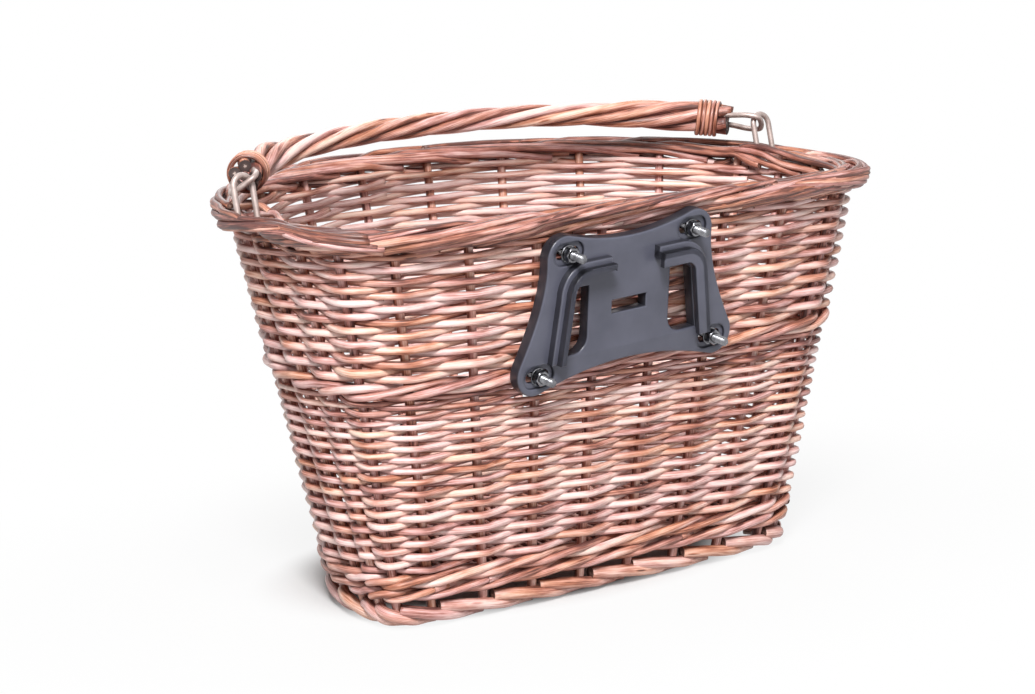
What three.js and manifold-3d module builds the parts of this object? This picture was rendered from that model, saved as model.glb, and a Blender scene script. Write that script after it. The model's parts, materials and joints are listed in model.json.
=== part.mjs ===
// Wicker bicycle basket: a woven D-shaped tub on willow stakes, a bail handle that swings on
// wire links, and a moulded quick-release plate bolted through the flat back.
// Millimetres, +Z up. The flat back with the plate faces -Y, the curved front faces +Y.

import * as THREE from 'three';
import { mergeVertices } from 'three/addons/utils/BufferGeometryUtils.js';
import Module from 'manifold-3d';

const wasm = await Module();
wasm.setup();

// Clearance between neighbouring pieces
const CLEARANCE = 0.3;

// Willow rods
const STAKE_DIAMETER = 5.5;
const WEAVER_DIAMETER = 3.4;
const WALE_ROD_DIAMETER = 4.6;
const BASE_STICK_DIAMETER = 5;
const BASE_WEAVER_DIAMETER = 2;

// Tub outline at the floor and at the top of the rim, along the middle of the wall
const BASE_HALF_WIDTH = 142;
const BASE_BACK = 49;
const BASE_FRONT = 94;
const BASE_WIDEST_Y = -25;
const RIM_HALF_WIDTH = 193;
const RIM_BACK = 76;
const RIM_FRONT = 150;
const BACK_SQUARENESS = 5.5;
const FRONT_SQUARENESS = 2;

// Heights of the woven bands, from the floor up
const FOOT_HEIGHT = 8.5;
const FOOT_GAP = 7;
const BOTTOM_WALE_HEIGHT = 16;
const LOWER_WEAVE_HEIGHT = 101;
const MID_WALE_HEIGHT = 10;
const UPPER_WEAVE_HEIGHT = 75.5;
const BORDER_HEIGHT = 12;
const FOOT_WIDTH = 14;
const BORDER_WIDTH = 20;
const BORDER_OVERHANG = 3.5;

// Height of one row of weaving, at the bottom and the top of each woven wall
const LOWER_FIRST_ROW = 4;
const LOWER_LAST_ROW = 2.8;
const UPPER_FIRST_ROW = 4.2;
const UPPER_LAST_ROW = 3.4;

// Stakes: how many, and how far apart along the rim
const BACK_STAKES = 8;
const SIDE_STAKES = 3;
const FRONT_STAKES = 10;
const BACK_STAKE_PITCH = 47;
const FRONT_STAKE_PITCH = 51;
const STAKE_FOOT = 1.5;
const STAKE_TUCK = 7;

// Base mat
const BASE_LIFT = 1.5;
const BASE_STICKS = 4;
const BASE_STICK_PITCH = 29;

// Wire links through the rim, set back from the first front stake by a share of the side pitch
const WIRE_DIAMETER = 3.4;
const LINK_SETBACK = 0.59;
const LINK_INSET = 1.5;
const LINK_WIDTH = 12.3;
const LINK_RISE = 19.9;
const LINK_LEAN = THREE.MathUtils.degToRad(15);

// Bail handle
const HANDLE_LEAN = THREE.MathUtils.degToRad(84.5);
const HANDLE_END_ANGLE = THREE.MathUtils.degToRad(52);
const HANDLE_RISE = 80.8;
const HANDLE_DIAMETER = 14;
const HANDLE_END_DIAMETER = 19;
const HANDLE_END_LENGTH = 34;
const HANDLE_TAPER_LENGTH = 60;
const EYE_REACH = 18.5;
const EYE_HALF_WIDTH = 8.5;
const EYE_LEG_HALF_WIDTH = 6.4;
const EYE_DEPTH = 18;
const EYE_TWIST = THREE.MathUtils.degToRad(40);
const EYE_SLACK = 2.2;

// Bend of the wire eye, in shares of its reach and its half width
const EYE_WIDEST_REACH = 0.45;
const EYE_NOSE_REACH = 0.075;
const EYE_NOSE_WIDTH = 0.86;
const EYE_TIP_WIDTH = 0.45;

// Cane binding at each end of the handle
const CANE_DIAMETER = 2.4;
const BINDING_TURNS = 4;
const BINDING_PITCH = 3.15;
const BINDING_INSET = 7;

// Quick-release plate
const PLATE_DROP = 41.7;
const PLATE_OFFSET = -11.8;
const PLATE_ROLL = THREE.MathUtils.degToRad(3.1);
const PLATE_DEPTH = 8;
const PLATE_THICKNESS = 4;
const PLATE_SKIRT = 3;
const BOLT_SPACING_TOP = 89;
const BOLT_SPACING_BOTTOM = 125.5;
const BOLT_RISE = 67;
const LOBE_RADIUS = 12.5;
const LOBE_SPREAD = 2.5;
const LOBE_DRAW = 1.8;
const TOP_LOBE_START = -5;
const TOP_LOBE_END = 107;
const BOTTOM_LOBE_START = 150;
const BOTTOM_LOBE_END = 285;
const PLATE_TOP_DIP = 7;
const PLATE_BOTTOM_DIP = 10;
const PLATE_WAIST = 63;
const PLATE_WAIST_HEIGHT = 6;
const SLOT_LENGTH = 16;
const SLOT_WIDTH = 6.4;
const RECESS_LENGTH = 21;
const RECESS_WIDTH = 12.5;
const RECESS_DEPTH = 2;

// Guide rails and openings on the plate
const RAIL_HEIGHT = 9;
const RAIL_LIP_THICKNESS = 4.2;
const RAIL_TOP = 28.5;
const RAIL_START = 17;
const RAIL_BEND_RADIUS = 18;
const RAIL_BEND_X = 34.5;
const RAIL_FOOT_X = 57.5;
const RAIL_FOOT = -27;
const RAIL_LEDGE = 3;
const RAIL_WALL = 4;
const RAIL_LIP = 4.5;
const WINDOW_INNER_X = 29.5;
const WINDOW_TOP = 13;
const WINDOW_BOTTOM = -25;
const WINDOW_RADIUS = 9;
const CATCH_WIDTH = 24.5;
const CATCH_HEIGHT = 7.5;
const CATCH_CENTRE = -2.5;

// Fasteners: M5 bolts from inside, hexagon nuts outside
const BOLT_DIAMETER = 5;
const BOLT_HEAD_DIAMETER = 9.5;
const BOLT_HEAD_HEIGHT = 3.2;
const BOLT_HEAD_CROWN = 0.6;
const BOLT_HEAD_EDGE = 0.4;
const BOLT_END = 9;
const NUT_ACROSS_FLATS = 8;
const NUT_HEIGHT = 4;
const WASHER_DIAMETER = 10;
const WASHER_THICKNESS = 1;
const BACKING_DIAMETER = 14;
const BACKING_THICKNESS = 1.5;

// Facet counts
const STAKE_SIDES = 6;
const ROUND_SIDES = 10;
const WIRE_SIDES = 6;
const LINK_STEPS = 28;
const EYE_STEPS = 22;
const HANDLE_SIDES = 10;
const HANDLE_STEPS = 36;
const TURN_STEPS = 16;
const ARC_STEPS = 6;
const LEAST_BEND = THREE.MathUtils.degToRad(0.5);

// Finishes
const finish = (color, roughness, metalness) => ({ color, roughness, metalness });
const STAKE_WILLOW = finish(0x8f5238, 0.6, 0);
const WEAVE_WILLOW = finish(0xb87d62, 0.55, 0);
const WALE_WILLOW = finish(0xad6c4c, 0.55, 0);
const BORDER_WILLOW = finish(0xb4704f, 0.5, 0);
const FOOT_WILLOW = finish(0xb86d46, 0.5, 0);
const HANDLE_WILLOW = finish(0xb36f50, 0.5, 0);
const CANE = finish(0xc07c4b, 0.5, 0);
const GALVANISED_WIRE = finish(0xb9ada3, 0.45, 0.8);
const BLACK_PLASTIC = finish(0x33363c, 0.45, 0);
const BRIGHT_STEEL = finish(0xc4c5c6, 0.3, 1);

// Worked-out heights and wall thicknesses
const BOTTOM_WALE_Z = FOOT_HEIGHT + FOOT_GAP;
const LOWER_WEAVE_Z = BOTTOM_WALE_Z + BOTTOM_WALE_HEIGHT;
const MID_WALE_Z = LOWER_WEAVE_Z + LOWER_WEAVE_HEIGHT;
const UPPER_WEAVE_Z = MID_WALE_Z + MID_WALE_HEIGHT;
const BORDER_Z = UPPER_WEAVE_Z + UPPER_WEAVE_HEIGHT;
const RIM_Z = BORDER_Z + BORDER_HEIGHT;
const BORDER_MID_Z = BORDER_Z + BORDER_HEIGHT / 2;
const WEAVE_WALL = STAKE_DIAMETER + 2 * WEAVER_DIAMETER;
const WALE_WALL = STAKE_DIAMETER + 2 * WALE_ROD_DIAMETER;
const BASE_THICKNESS = BASE_STICK_DIAMETER + 2 * BASE_WEAVER_DIAMETER;
const WIRE_RADIUS = WIRE_DIAMETER / 2;

const basket = new THREE.Group();

function addPiece(parent, name, geometry, look) {
  const mesh = new THREE.Mesh(geometry, new THREE.MeshStandardMaterial(look));
  mesh.name = name;
  parent.add(mesh);
  return mesh;
}

// Solids for cutting and joining
function solidOf(geometry) {
  const bare = geometry.clone();
  bare.deleteAttribute('normal');
  bare.deleteAttribute('uv');
  const merged = mergeVertices(bare, 1e-4);
  const vertProperties = new Float32Array(merged.attributes.position.array);
  const triVerts = new Uint32Array(merged.index.array);
  return new wasm.Manifold(new wasm.Mesh({ numProp: 3, vertProperties, triVerts }));
}

function geometryOf(solid) {
  const mesh = solid.getMesh();
  const geometry = new THREE.BufferGeometry();
  geometry.setAttribute('position', new THREE.BufferAttribute(mesh.vertProperties, 3));
  geometry.setIndex(new THREE.BufferAttribute(mesh.triVerts, 1));
  geometry.computeVertexNormals();
  return geometry;
}

function cutBy(geometry, cutters) {
  const left = cutters.reduce((solid, cutter) => solid.subtract(solidOf(cutter)), solidOf(geometry));
  return geometryOf(left);
}

// The D outline: half a squarish oval at the back and half an ellipse at the front.
// A given turn runs up the wall in a straight line, as a stake does.
function wallOutline(turn, z) {
  const share = z / RIM_Z;
  const { lerp } = THREE.MathUtils;
  const c = Math.cos(turn);
  const s = Math.sin(turn);
  const squareness = s < 0 ? BACK_SQUARENESS : FRONT_SQUARENESS;
  const reach = (Math.abs(c) ** squareness + Math.abs(s) ** squareness) ** (-1 / squareness);
  const halfWidth = lerp(BASE_HALF_WIDTH, RIM_HALF_WIDTH, share);
  const widestY = lerp(BASE_WIDEST_Y, 0, share);
  const back = lerp(BASE_BACK + BASE_WIDEST_Y, RIM_BACK, share);
  const front = lerp(BASE_FRONT - BASE_WIDEST_Y, RIM_FRONT, share);
  return new THREE.Vector2(halfWidth * reach * c, widestY + (s < 0 ? back : front) * reach * s);
}

function wallPoint(turn, z, offset) {
  const step = 1e-4;
  const along = wallOutline(turn + step, z).sub(wallOutline(turn - step, z)).normalize();
  const point = wallOutline(turn, z);
  return new THREE.Vector3(point.x + along.y * offset, point.y - along.x * offset, z);
}

class RimCurve extends THREE.Curve {
  static turnAt(t) {
    return -Math.PI / 2 + 2 * Math.PI * t;
  }

  getPoint(t) {
    return wallPoint(RimCurve.turnAt(t), RIM_Z, 0);
  }
}

// Stake places along the rim, measured from the middle of the back
const rimCurve = new RimCurve();
rimCurve.arcLengthDivisions = 1440;
const rimLength = rimCurve.getLength();
const count = (n) => [...Array(n).keys()];
const turnAtDistance = (distance) => RimCurve.turnAt(rimCurve.getUtoTmapping(0, distance));

const backPlaces = count(BACK_STAKES / 2).map((i) => (i + 0.5) * BACK_STAKE_PITCH);
const frontPlaces = count(FRONT_STAKES / 2)
  .map((i) => rimLength / 2 - (i + 0.5) * FRONT_STAKE_PITCH)
  .reverse();
const sidePitch = (frontPlaces[0] - backPlaces.at(-1)) / (SIDE_STAKES + 1);
const sidePlaces = count(SIDE_STAKES).map((i) => backPlaces.at(-1) + (i + 1) * sidePitch);
const halfPlaces = [...backPlaces, ...sidePlaces, ...frontPlaces];
const stakePlaces = [...halfPlaces, ...halfPlaces.map((place) => rimLength - place).reverse()];
const stakeTurns = stakePlaces.map(turnAtDistance);
const linkPlace = frontPlaces[0] - sidePitch * LINK_SETBACK;

// Facets of the wall: one edge at every stake and one midway to the next
const stations = stakePlaces.flatMap((place, i) => {
  const next = i + 1 < stakePlaces.length ? stakePlaces[i + 1] : stakePlaces[0] + rimLength;
  return [turnAtDistance(place), turnAtDistance(((place + next) / 2) % rimLength)];
});

// A band that runs round the tub, from a loop of corners that starts at its outer bottom edge.
// Each corner has a height, and an offset from the middle of the wall at every station.
function hoop(corners) {
  const loop = [...corners, corners[0]];
  const profile = loop.map(({ offsetAt, z }) => new THREE.Vector2(offsetAt(0), z));
  const lathe = new THREE.LatheGeometry(profile, stations.length);
  const { position } = lathe.attributes;
  for (let k = 0; k < position.count; k++) {
    const station = Math.floor(k / loop.length) % stations.length;
    const { offsetAt, z } = loop[k % loop.length];
    position.setXYZ(k, ...wallPoint(stations[station], z, offsetAt(station)));
  }
  return lathe;
}

const evenCorner = ([offset, z]) => ({ offsetAt: () => offset, z });

function flatBand(bottom, height, width) {
  const top = bottom + height - CLEARANCE;
  const section = [
    [width / 2, bottom],
    [width / 2, top],
    [-width / 2, top],
    [-width / 2, bottom],
  ];
  return hoop(section.map(evenCorner));
}

function roundedBand(bottom, height, width, overhang) {
  const flat = Math.tan(Math.PI / 8);
  const mid = bottom + height / 2;
  const half = [[1, -flat], [1, flat], [flat, 1], [-flat, 1]];
  const corners = [...half, ...half.map(([across, up]) => [-across, -up])];
  const section = corners.map(([across, up]) => [overhang + (across * width) / 2, mid + (up * height) / 2]);
  return hoop(section.map(evenCorner));
}

// Heights of the middles of woven rows, whose height changes evenly from the first to the last
function rowMiddles(bottom, top, firstRow, lastRow) {
  const rows = Math.round((2 * (top - bottom)) / (firstRow + lastRow));
  const reach = (row) => firstRow * row + ((lastRow - firstRow) * row * row) / (2 * rows);
  const scale = (top - bottom) / reach(rows);
  return count(rows).map((row) => bottom + scale * reach(row + 0.5));
}

// A woven wall: on its outside each row of rods stands out at every other stake.
// Half way between stakes the rows cross over, and the wall is one rod thick.
function wovenBand(bottom, height, firstRow, lastRow) {
  const top = bottom + height - CLEARANCE;
  const inFront = WEAVE_WALL / 2;
  const behind = STAKE_DIAMETER / 2 + 3 * CLEARANCE;
  const atStation = (station, atStake) => (station % 2 ? WEAVER_DIAMETER / 2 : atStake);
  const edge = (station) => atStation(station, (inFront + behind) / 2);
  const inside = (station) => -atStation(station, inFront);
  const rows = rowMiddles(bottom, top, firstRow, lastRow).map((z, row) => ({
    offsetAt: (station) => atStation(station, (row + station / 2) % 2 ? behind : inFront),
    z,
  }));
  return hoop([
    { offsetAt: edge, z: bottom },
    ...rows,
    { offsetAt: edge, z: top },
    { offsetAt: inside, z: top },
    { offsetAt: inside, z: bottom },
  ]);
}

function rodBetween(start, end, radius, sides) {
  const along = end.clone().sub(start);
  const geometry = new THREE.CylinderGeometry(radius, radius, along.length(), sides);
  const middle = start.clone().lerp(end, 0.5);
  const turn = new THREE.Quaternion().setFromUnitVectors(new THREE.Vector3(0, 1, 0), along.normalize());
  return geometry.applyMatrix4(new THREE.Matrix4().compose(middle, turn, new THREE.Vector3(1, 1, 1)));
}

// Stakes stand from the foot border up into the rim border
const stakeTop = BORDER_Z + STAKE_TUCK;
const stakeLine = (turn, spare) => [
  wallPoint(turn, STAKE_FOOT - spare, 0),
  wallPoint(turn, stakeTop + spare, 0),
];
stakeTurns.forEach((turn, i) => {
  const [foot, top] = stakeLine(turn, 0);
  const name = `stake_${String(i + 1).padStart(2, '0')}`;
  addPiece(basket, name, rodBetween(foot, top, STAKE_DIAMETER / 2, STAKE_SIDES), STAKE_WILLOW);
});
const stakeHoles = stakeTurns.map((turn) => {
  const [foot, top] = stakeLine(turn, CLEARANCE);
  return rodBetween(foot, top, STAKE_DIAMETER / 2 + CLEARANCE, STAKE_SIDES);
});
const footHoles = stakeTurns.map((turn) => {
  const [foot, top] = stakeLine(turn, STAKE_FOOT + CLEARANCE);
  return rodBetween(foot, top, STAKE_DIAMETER / 2 + CLEARANCE, STAKE_SIDES);
});

// Plate frame: X across the back, Y up the wall, Z out of the wall, with Z = 0 on the plate's back
const wallSlope = Math.atan2(RIM_BACK - BASE_BACK, RIM_Z);
const wallHalf = (WALE_WALL / 2) * Math.cos(wallSlope) + CLEARANCE;
const plateZ = BORDER_Z - PLATE_DROP;
const plate = new THREE.Group();
plate.rotation.set(Math.PI / 2 + wallSlope, 0, PLATE_ROLL);
plate.position.set(PLATE_OFFSET, wallOutline(-Math.PI / 2, plateZ).y, plateZ);
plate.translateZ(wallHalf);
plate.updateMatrix();
basket.add(plate);

const boltPlaces = [
  { name: 'top_left', x: -BOLT_SPACING_TOP / 2, y: BOLT_RISE / 2 },
  { name: 'top_right', x: BOLT_SPACING_TOP / 2, y: BOLT_RISE / 2 },
  { name: 'bottom_left', x: -BOLT_SPACING_BOTTOM / 2, y: -BOLT_RISE / 2 },
  { name: 'bottom_right', x: BOLT_SPACING_BOTTOM / 2, y: -BOLT_RISE / 2 },
];
const boltHoles = boltPlaces.map(({ x, y }) => {
  const inside = new THREE.Vector3(x, y, -3 * wallHalf);
  const outside = new THREE.Vector3(x, y, wallHalf);
  const hole = rodBetween(inside, outside, BOLT_DIAMETER / 2 + CLEARANCE, ROUND_SIDES);
  return hole.applyMatrix4(plate.matrix);
});

// Wire links: both legs go down between the border's rods, and the bend passes under its middle
const linkMiddle = wallPoint(turnAtDistance(linkPlace), BORDER_MID_Z, BORDER_OVERHANG - LINK_INSET);
const linkRadius = LINK_WIDTH / 2;
const linkX = linkMiddle.x;
const linkTop = RIM_Z + LINK_RISE - WIRE_RADIUS - linkRadius - BORDER_MID_Z;

function loopOutline(shape, radius) {
  shape.absarc(0, linkTop, radius, 0, Math.PI);
  shape.absarc(0, 0, radius, Math.PI, 2 * Math.PI);
  shape.closePath();
  return shape;
}

// A ring of wire bent to a flat closed path in the XZ plane
function wireLoop(path) {
  const ring = new THREE.TorusGeometry(linkRadius, WIRE_RADIUS, WIRE_SIDES, LINK_STEPS);
  const { position } = ring.attributes;
  for (let k = 0; k < position.count; k++) {
    const vertex = new THREE.Vector3().fromBufferAttribute(position, k);
    const share = (Math.atan2(vertex.y, vertex.x) / (2 * Math.PI) + 1) % 1;
    const out = Math.hypot(vertex.x, vertex.y) - linkRadius;
    const centre = path.getPointAt(share);
    const along = path.getTangentAt(share);
    position.setXYZ(k, centre.x + along.y * out, -vertex.z, centre.y - along.x * out);
  }
  return ring;
}

const linkSlotHalf = linkRadius * Math.sin(LINK_LEAN) + WIRE_RADIUS + 2 * CLEARANCE;
const linkLift = linkRadius * (1 - Math.cos(LINK_LEAN));
const linkRoom = WIRE_RADIUS + linkLift + CLEARANCE;
function linkSlot(side) {
  const slot = loopOutline(new THREE.Shape(), linkRadius + linkRoom);
  slot.holes.push(loopOutline(new THREE.Path(), linkRadius - linkRoom));
  const options = { depth: 2 * linkSlotHalf, bevelEnabled: false, curveSegments: ARC_STEPS };
  const geometry = new THREE.ExtrudeGeometry(slot, options);
  geometry.rotateX(Math.PI / 2);
  return geometry.translate(side * linkX, linkMiddle.y + linkSlotHalf, BORDER_MID_Z);
}
const linkSlots = [-1, 1].map(linkSlot);

const sides = [['left', -1], ['right', 1]];
sides.forEach(([name, side]) => {
  const loop = wireLoop(loopOutline(new THREE.Path(), linkRadius));
  const link = addPiece(basket, `rim_link_${name}`, loop, GALVANISED_WIRE);
  link.position.set(side * linkX, linkMiddle.y, BORDER_MID_Z);
  link.rotation.x = -LINK_LEAN;
});

// Woven tub
const foot = flatBand(0, FOOT_HEIGHT, FOOT_WIDTH);
const bottomWale = flatBand(BOTTOM_WALE_Z, BOTTOM_WALE_HEIGHT, WALE_WALL);
const lowerWeave = wovenBand(LOWER_WEAVE_Z, LOWER_WEAVE_HEIGHT, LOWER_FIRST_ROW, LOWER_LAST_ROW);
const midWale = flatBand(MID_WALE_Z, MID_WALE_HEIGHT, WALE_WALL);
const upperWeave = wovenBand(UPPER_WEAVE_Z, UPPER_WEAVE_HEIGHT, UPPER_FIRST_ROW, UPPER_LAST_ROW);
const border = roundedBand(BORDER_Z, BORDER_HEIGHT, BORDER_WIDTH, BORDER_OVERHANG);
addPiece(basket, 'foot_border', cutBy(foot, footHoles), FOOT_WILLOW);
addPiece(basket, 'bottom_wale', cutBy(bottomWale, stakeHoles), WALE_WILLOW);
const wallHoles = [...stakeHoles, ...boltHoles];
addPiece(basket, 'lower_weave', cutBy(lowerWeave, wallHoles), WEAVE_WILLOW);
addPiece(basket, 'mid_wale', cutBy(midWale, wallHoles), WALE_WILLOW);
addPiece(basket, 'upper_weave', cutBy(upperWeave, [...wallHoles, ...linkSlots]), WEAVE_WILLOW);
const plateNotch = prism(plateOutline(-2 * CLEARANCE), -CLEARANCE, PLATE_DEPTH).applyMatrix4(plate.matrix);
addPiece(basket, 'rim_border', cutBy(border, [...stakeHoles, ...linkSlots, plateNotch]), BORDER_WILLOW);

// Whether a corner of an outline turns enough to be needed
function bends(corner, i, outline) {
  const before = corner.clone().sub(outline.at(i - 1));
  const after = outline[(i + 1) % outline.length].clone().sub(corner);
  return before.angleTo(after) > LEAST_BEND;
}

// Base mat on long sticks, inside the bottom wale
const baseZ = BOTTOM_WALE_Z + BASE_LIFT;
const baseInset = WALE_WALL / 2 + CLEARANCE;
const baseOutline = stations.map((turn) => wallPoint(turn, baseZ, -baseInset)).filter(bends);
const baseOptions = { depth: BASE_THICKNESS, bevelEnabled: false };
const baseMat = new THREE.ExtrudeGeometry(new THREE.Shape(baseOutline), baseOptions);
baseMat.translate(0, 0, baseZ);

function baseHalfWidth(y) {
  const crossings = baseOutline.flatMap((a, i) => {
    const b = baseOutline[(i + 1) % baseOutline.length];
    const share = (y - a.y) / (b.y - a.y);
    return share >= 0 && share < 1 ? [Math.abs(THREE.MathUtils.lerp(a.x, b.x, share))] : [];
  });
  return Math.min(...crossings);
}

const baseMiddleY = (wallPoint(Math.PI / 2, baseZ, 0).y + wallPoint(-Math.PI / 2, baseZ, 0).y) / 2;
const stickZ = baseZ + BASE_THICKNESS / 2;
const firstStickY = baseMiddleY - ((BASE_STICKS - 1) / 2) * BASE_STICK_PITCH;
const stickPlaces = count(BASE_STICKS).map((i) => firstStickY + i * BASE_STICK_PITCH);
function baseStick(y, halfLength, radius) {
  const left = new THREE.Vector3(-halfLength, y, stickZ);
  const right = new THREE.Vector3(halfLength, y, stickZ);
  return rodBetween(left, right, radius, STAKE_SIDES);
}
stickPlaces.forEach((y, i) => {
  const halfLength = baseHalfWidth(y) - BASE_STICK_DIAMETER;
  addPiece(basket, `base_stick_${i + 1}`, baseStick(y, halfLength, BASE_STICK_DIAMETER / 2), STAKE_WILLOW);
});
const stickHoleRadius = BASE_STICK_DIAMETER / 2 + CLEARANCE;
const stickHoles = stickPlaces.map((y) => baseStick(y, RIM_HALF_WIDTH, stickHoleRadius));
addPiece(basket, 'base_weave', cutBy(baseMat, stickHoles), WEAVE_WILLOW);

// Handle frame: X between the links, Y up the arch, with the origin on the swing axis
const eyeHeight = linkTop + linkRadius - WIRE_DIAMETER - EYE_SLACK;
const handle = new THREE.Group();
handle.position.set(
  0,
  linkMiddle.y + eyeHeight * Math.sin(LINK_LEAN),
  BORDER_MID_Z + eyeHeight * Math.cos(LINK_LEAN),
);
handle.rotation.x = Math.PI / 2 - HANDLE_LEAN;
basket.add(handle);

const endCos = Math.cos(HANDLE_END_ANGLE);
const endSin = Math.sin(HANDLE_END_ANGLE);
const inward = (side) => new THREE.Vector3(-side * endCos, endSin, 0);
const handleEnd = (side) => new THREE.Vector3(side * linkX, 0, 0).addScaledVector(inward(side), EYE_REACH);

// The middle of the arch's curve rises by this share of the way to its control points
const curveMiddleShare = 3 / 4;
const archReach = (HANDLE_RISE - EYE_REACH * endSin) / (curveMiddleShare * endSin);
const archControl = (side) => handleEnd(side).addScaledVector(inward(side), archReach);
const arch = new THREE.CubicBezierCurve3(handleEnd(-1), archControl(-1), archControl(1), handleEnd(1));
const archLength = arch.getLength();

// Bends a shape that stands along Y onto the arch, with an optional swelling along it
function bendOntoArch(geometry, widthAt = () => 1) {
  const { position } = geometry.attributes;
  for (let k = 0; k < position.count; k++) {
    const vertex = new THREE.Vector3().fromBufferAttribute(position, k);
    const point = archPoint(vertex.y, vertex.x * widthAt(vertex.y), vertex.z * widthAt(vertex.y));
    position.setXYZ(k, ...point);
  }
  return geometry;
}

function archPoint(distance, across, aside) {
  const share = THREE.MathUtils.clamp(distance / archLength, 0, 1);
  const along = arch.getTangentAt(share);
  const point = arch.getPointAt(share);
  return new THREE.Vector3(point.x - along.y * across, point.y + along.x * across, -aside);
}

function bundleRadius(distance) {
  const fromEnd = Math.min(distance, archLength - distance);
  const taperEnd = HANDLE_END_LENGTH + HANDLE_TAPER_LENGTH;
  const taper = THREE.MathUtils.smoothstep(fromEnd, HANDLE_END_LENGTH, taperEnd);
  return THREE.MathUtils.lerp(HANDLE_END_DIAMETER, HANDLE_DIAMETER, taper) / 2;
}

// Wire eye: a U whose legs are driven into the end of the bundle, twisted out of the arch's plane
function eyePath(side) {
  const back = inward(side);
  const flat = Math.cos(EYE_TWIST);
  const across = new THREE.Vector3(side * endSin * flat, endCos * flat, -Math.sin(EYE_TWIST));
  const half = [
    [EYE_REACH + EYE_DEPTH, EYE_LEG_HALF_WIDTH],
    [EYE_REACH, EYE_LEG_HALF_WIDTH],
    [EYE_REACH * EYE_WIDEST_REACH, EYE_HALF_WIDTH],
    [EYE_REACH * EYE_NOSE_REACH, EYE_HALF_WIDTH * EYE_NOSE_WIDTH],
    [0, EYE_HALF_WIDTH * EYE_TIP_WIDTH],
  ];
  const mirrored = half.map(([depth, width]) => [depth, -width]).reverse();
  const points = [...half, ...mirrored].map(([depth, width]) =>
    new THREE.Vector3(side * linkX, 0, 0).addScaledVector(back, depth).addScaledVector(across, width),
  );
  return new THREE.CatmullRomCurve3(points);
}

function wireAlong(path, radius, steps) {
  const section = new THREE.Shape().absarc(0, 0, radius, 0, 2 * Math.PI);
  return new THREE.ExtrudeGeometry(section, { steps, extrudePath: path, curveSegments: WIRE_SIDES / 2 });
}

const bundle = bendOntoArch(
  new THREE.CylinderGeometry(1, 1, archLength, HANDLE_SIDES, HANDLE_STEPS).translate(0, archLength / 2, 0),
  bundleRadius,
);
const eyeBores = sides.map(([, side]) => wireAlong(eyePath(side), WIRE_RADIUS + CLEARANCE, EYE_STEPS));
addPiece(handle, 'handle_rods', cutBy(bundle, eyeBores), HANDLE_WILLOW);
sides.forEach(([name, side]) => {
  addPiece(handle, `handle_eye_${name}`, wireAlong(eyePath(side), WIRE_RADIUS, EYE_STEPS), GALVANISED_WIRE);
});

// Cane binding: one length of cane wound round the bundle, with a short straight tail at each end
function bindingPoints(side) {
  const radius = HANDLE_END_DIAMETER / 2 + CLEARANCE + CANE_DIAMETER / 2;
  const start = BINDING_INSET + CANE_DIAMETER / 2;
  const turns = count(BINDING_TURNS * TURN_STEPS + 1).map((i) => {
    const angle = (2 * Math.PI * i) / TURN_STEPS;
    const fromEnd = start + (BINDING_PITCH * i) / TURN_STEPS;
    const distance = side < 0 ? fromEnd : archLength - fromEnd;
    return archPoint(distance, radius * Math.cos(angle), radius * Math.sin(angle));
  });
  const tail = (end, before) => end.clone().add(end.clone().sub(before).setLength(CANE_DIAMETER));
  return [tail(turns[0], turns[1]), ...turns, tail(turns.at(-1), turns.at(-2))];
}

function leastGap(points, diameter) {
  const apart = TURN_STEPS / 2;
  const toLater = (point, i) => points.slice(i + apart).map((other) => point.distanceTo(other));
  return Math.min(...points.flatMap(toLater)) - diameter;
}

sides.forEach(([name, side]) => {
  const points = bindingPoints(side);
  const gap = leastGap(points, CANE_DIAMETER).toFixed(2);
  console.log(`handle_binding_${name}: least gap between turns ${gap} mm`);
  const cane = wireAlong(new THREE.CatmullRomCurve3(points), CANE_DIAMETER / 2, points.length - 1);
  addPiece(handle, `handle_binding_${name}`, cane, CANE);
});

// Plate outline: four round lobes joined by hollow curves, drawn in by an inset
function plateOutline(inset) {
  const radius = LOBE_RADIUS - inset;
  const top = { x: BOLT_SPACING_TOP / 2 + LOBE_SPREAD, y: BOLT_RISE / 2 - LOBE_DRAW };
  const bottom = { x: BOLT_SPACING_BOTTOM / 2 + LOBE_SPREAD, y: -BOLT_RISE / 2 + LOBE_DRAW };
  const shape = new THREE.Shape();
  const lobe = (x, y, from, to) =>
    shape.absarc(x, y, radius, THREE.MathUtils.degToRad(from), THREE.MathUtils.degToRad(to));
  const hollow = (x, y, endX, endY, endAngle) => {
    const angle = THREE.MathUtils.degToRad(endAngle);
    const start = shape.currentPoint.clone();
    const end = new THREE.Vector2(endX + radius * Math.cos(angle), endY + radius * Math.sin(angle));
    const control = new THREE.Vector2(x, y).multiplyScalar(2).sub(start.add(end).multiplyScalar(0.5));
    shape.quadraticCurveTo(control.x, control.y, end.x, end.y);
  };
  const mirrorAngle = (angle) => 180 - angle;
  lobe(top.x, top.y, TOP_LOBE_START, TOP_LOBE_END);
  hollow(0, top.y + radius - PLATE_TOP_DIP, -top.x, top.y, mirrorAngle(TOP_LOBE_END));
  lobe(-top.x, top.y, mirrorAngle(TOP_LOBE_END), mirrorAngle(TOP_LOBE_START));
  hollow(-PLATE_WAIST + inset, PLATE_WAIST_HEIGHT, -bottom.x, bottom.y, BOTTOM_LOBE_START);
  lobe(-bottom.x, bottom.y, BOTTOM_LOBE_START, BOTTOM_LOBE_END);
  hollow(0, bottom.y - radius + PLATE_BOTTOM_DIP, bottom.x, bottom.y, mirrorAngle(BOTTOM_LOBE_END));
  lobe(bottom.x, bottom.y, mirrorAngle(BOTTOM_LOBE_END), mirrorAngle(BOTTOM_LOBE_START));
  hollow(PLATE_WAIST - inset, PLATE_WAIST_HEIGHT, top.x, top.y, TOP_LOBE_START);
  return shape;
}

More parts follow.
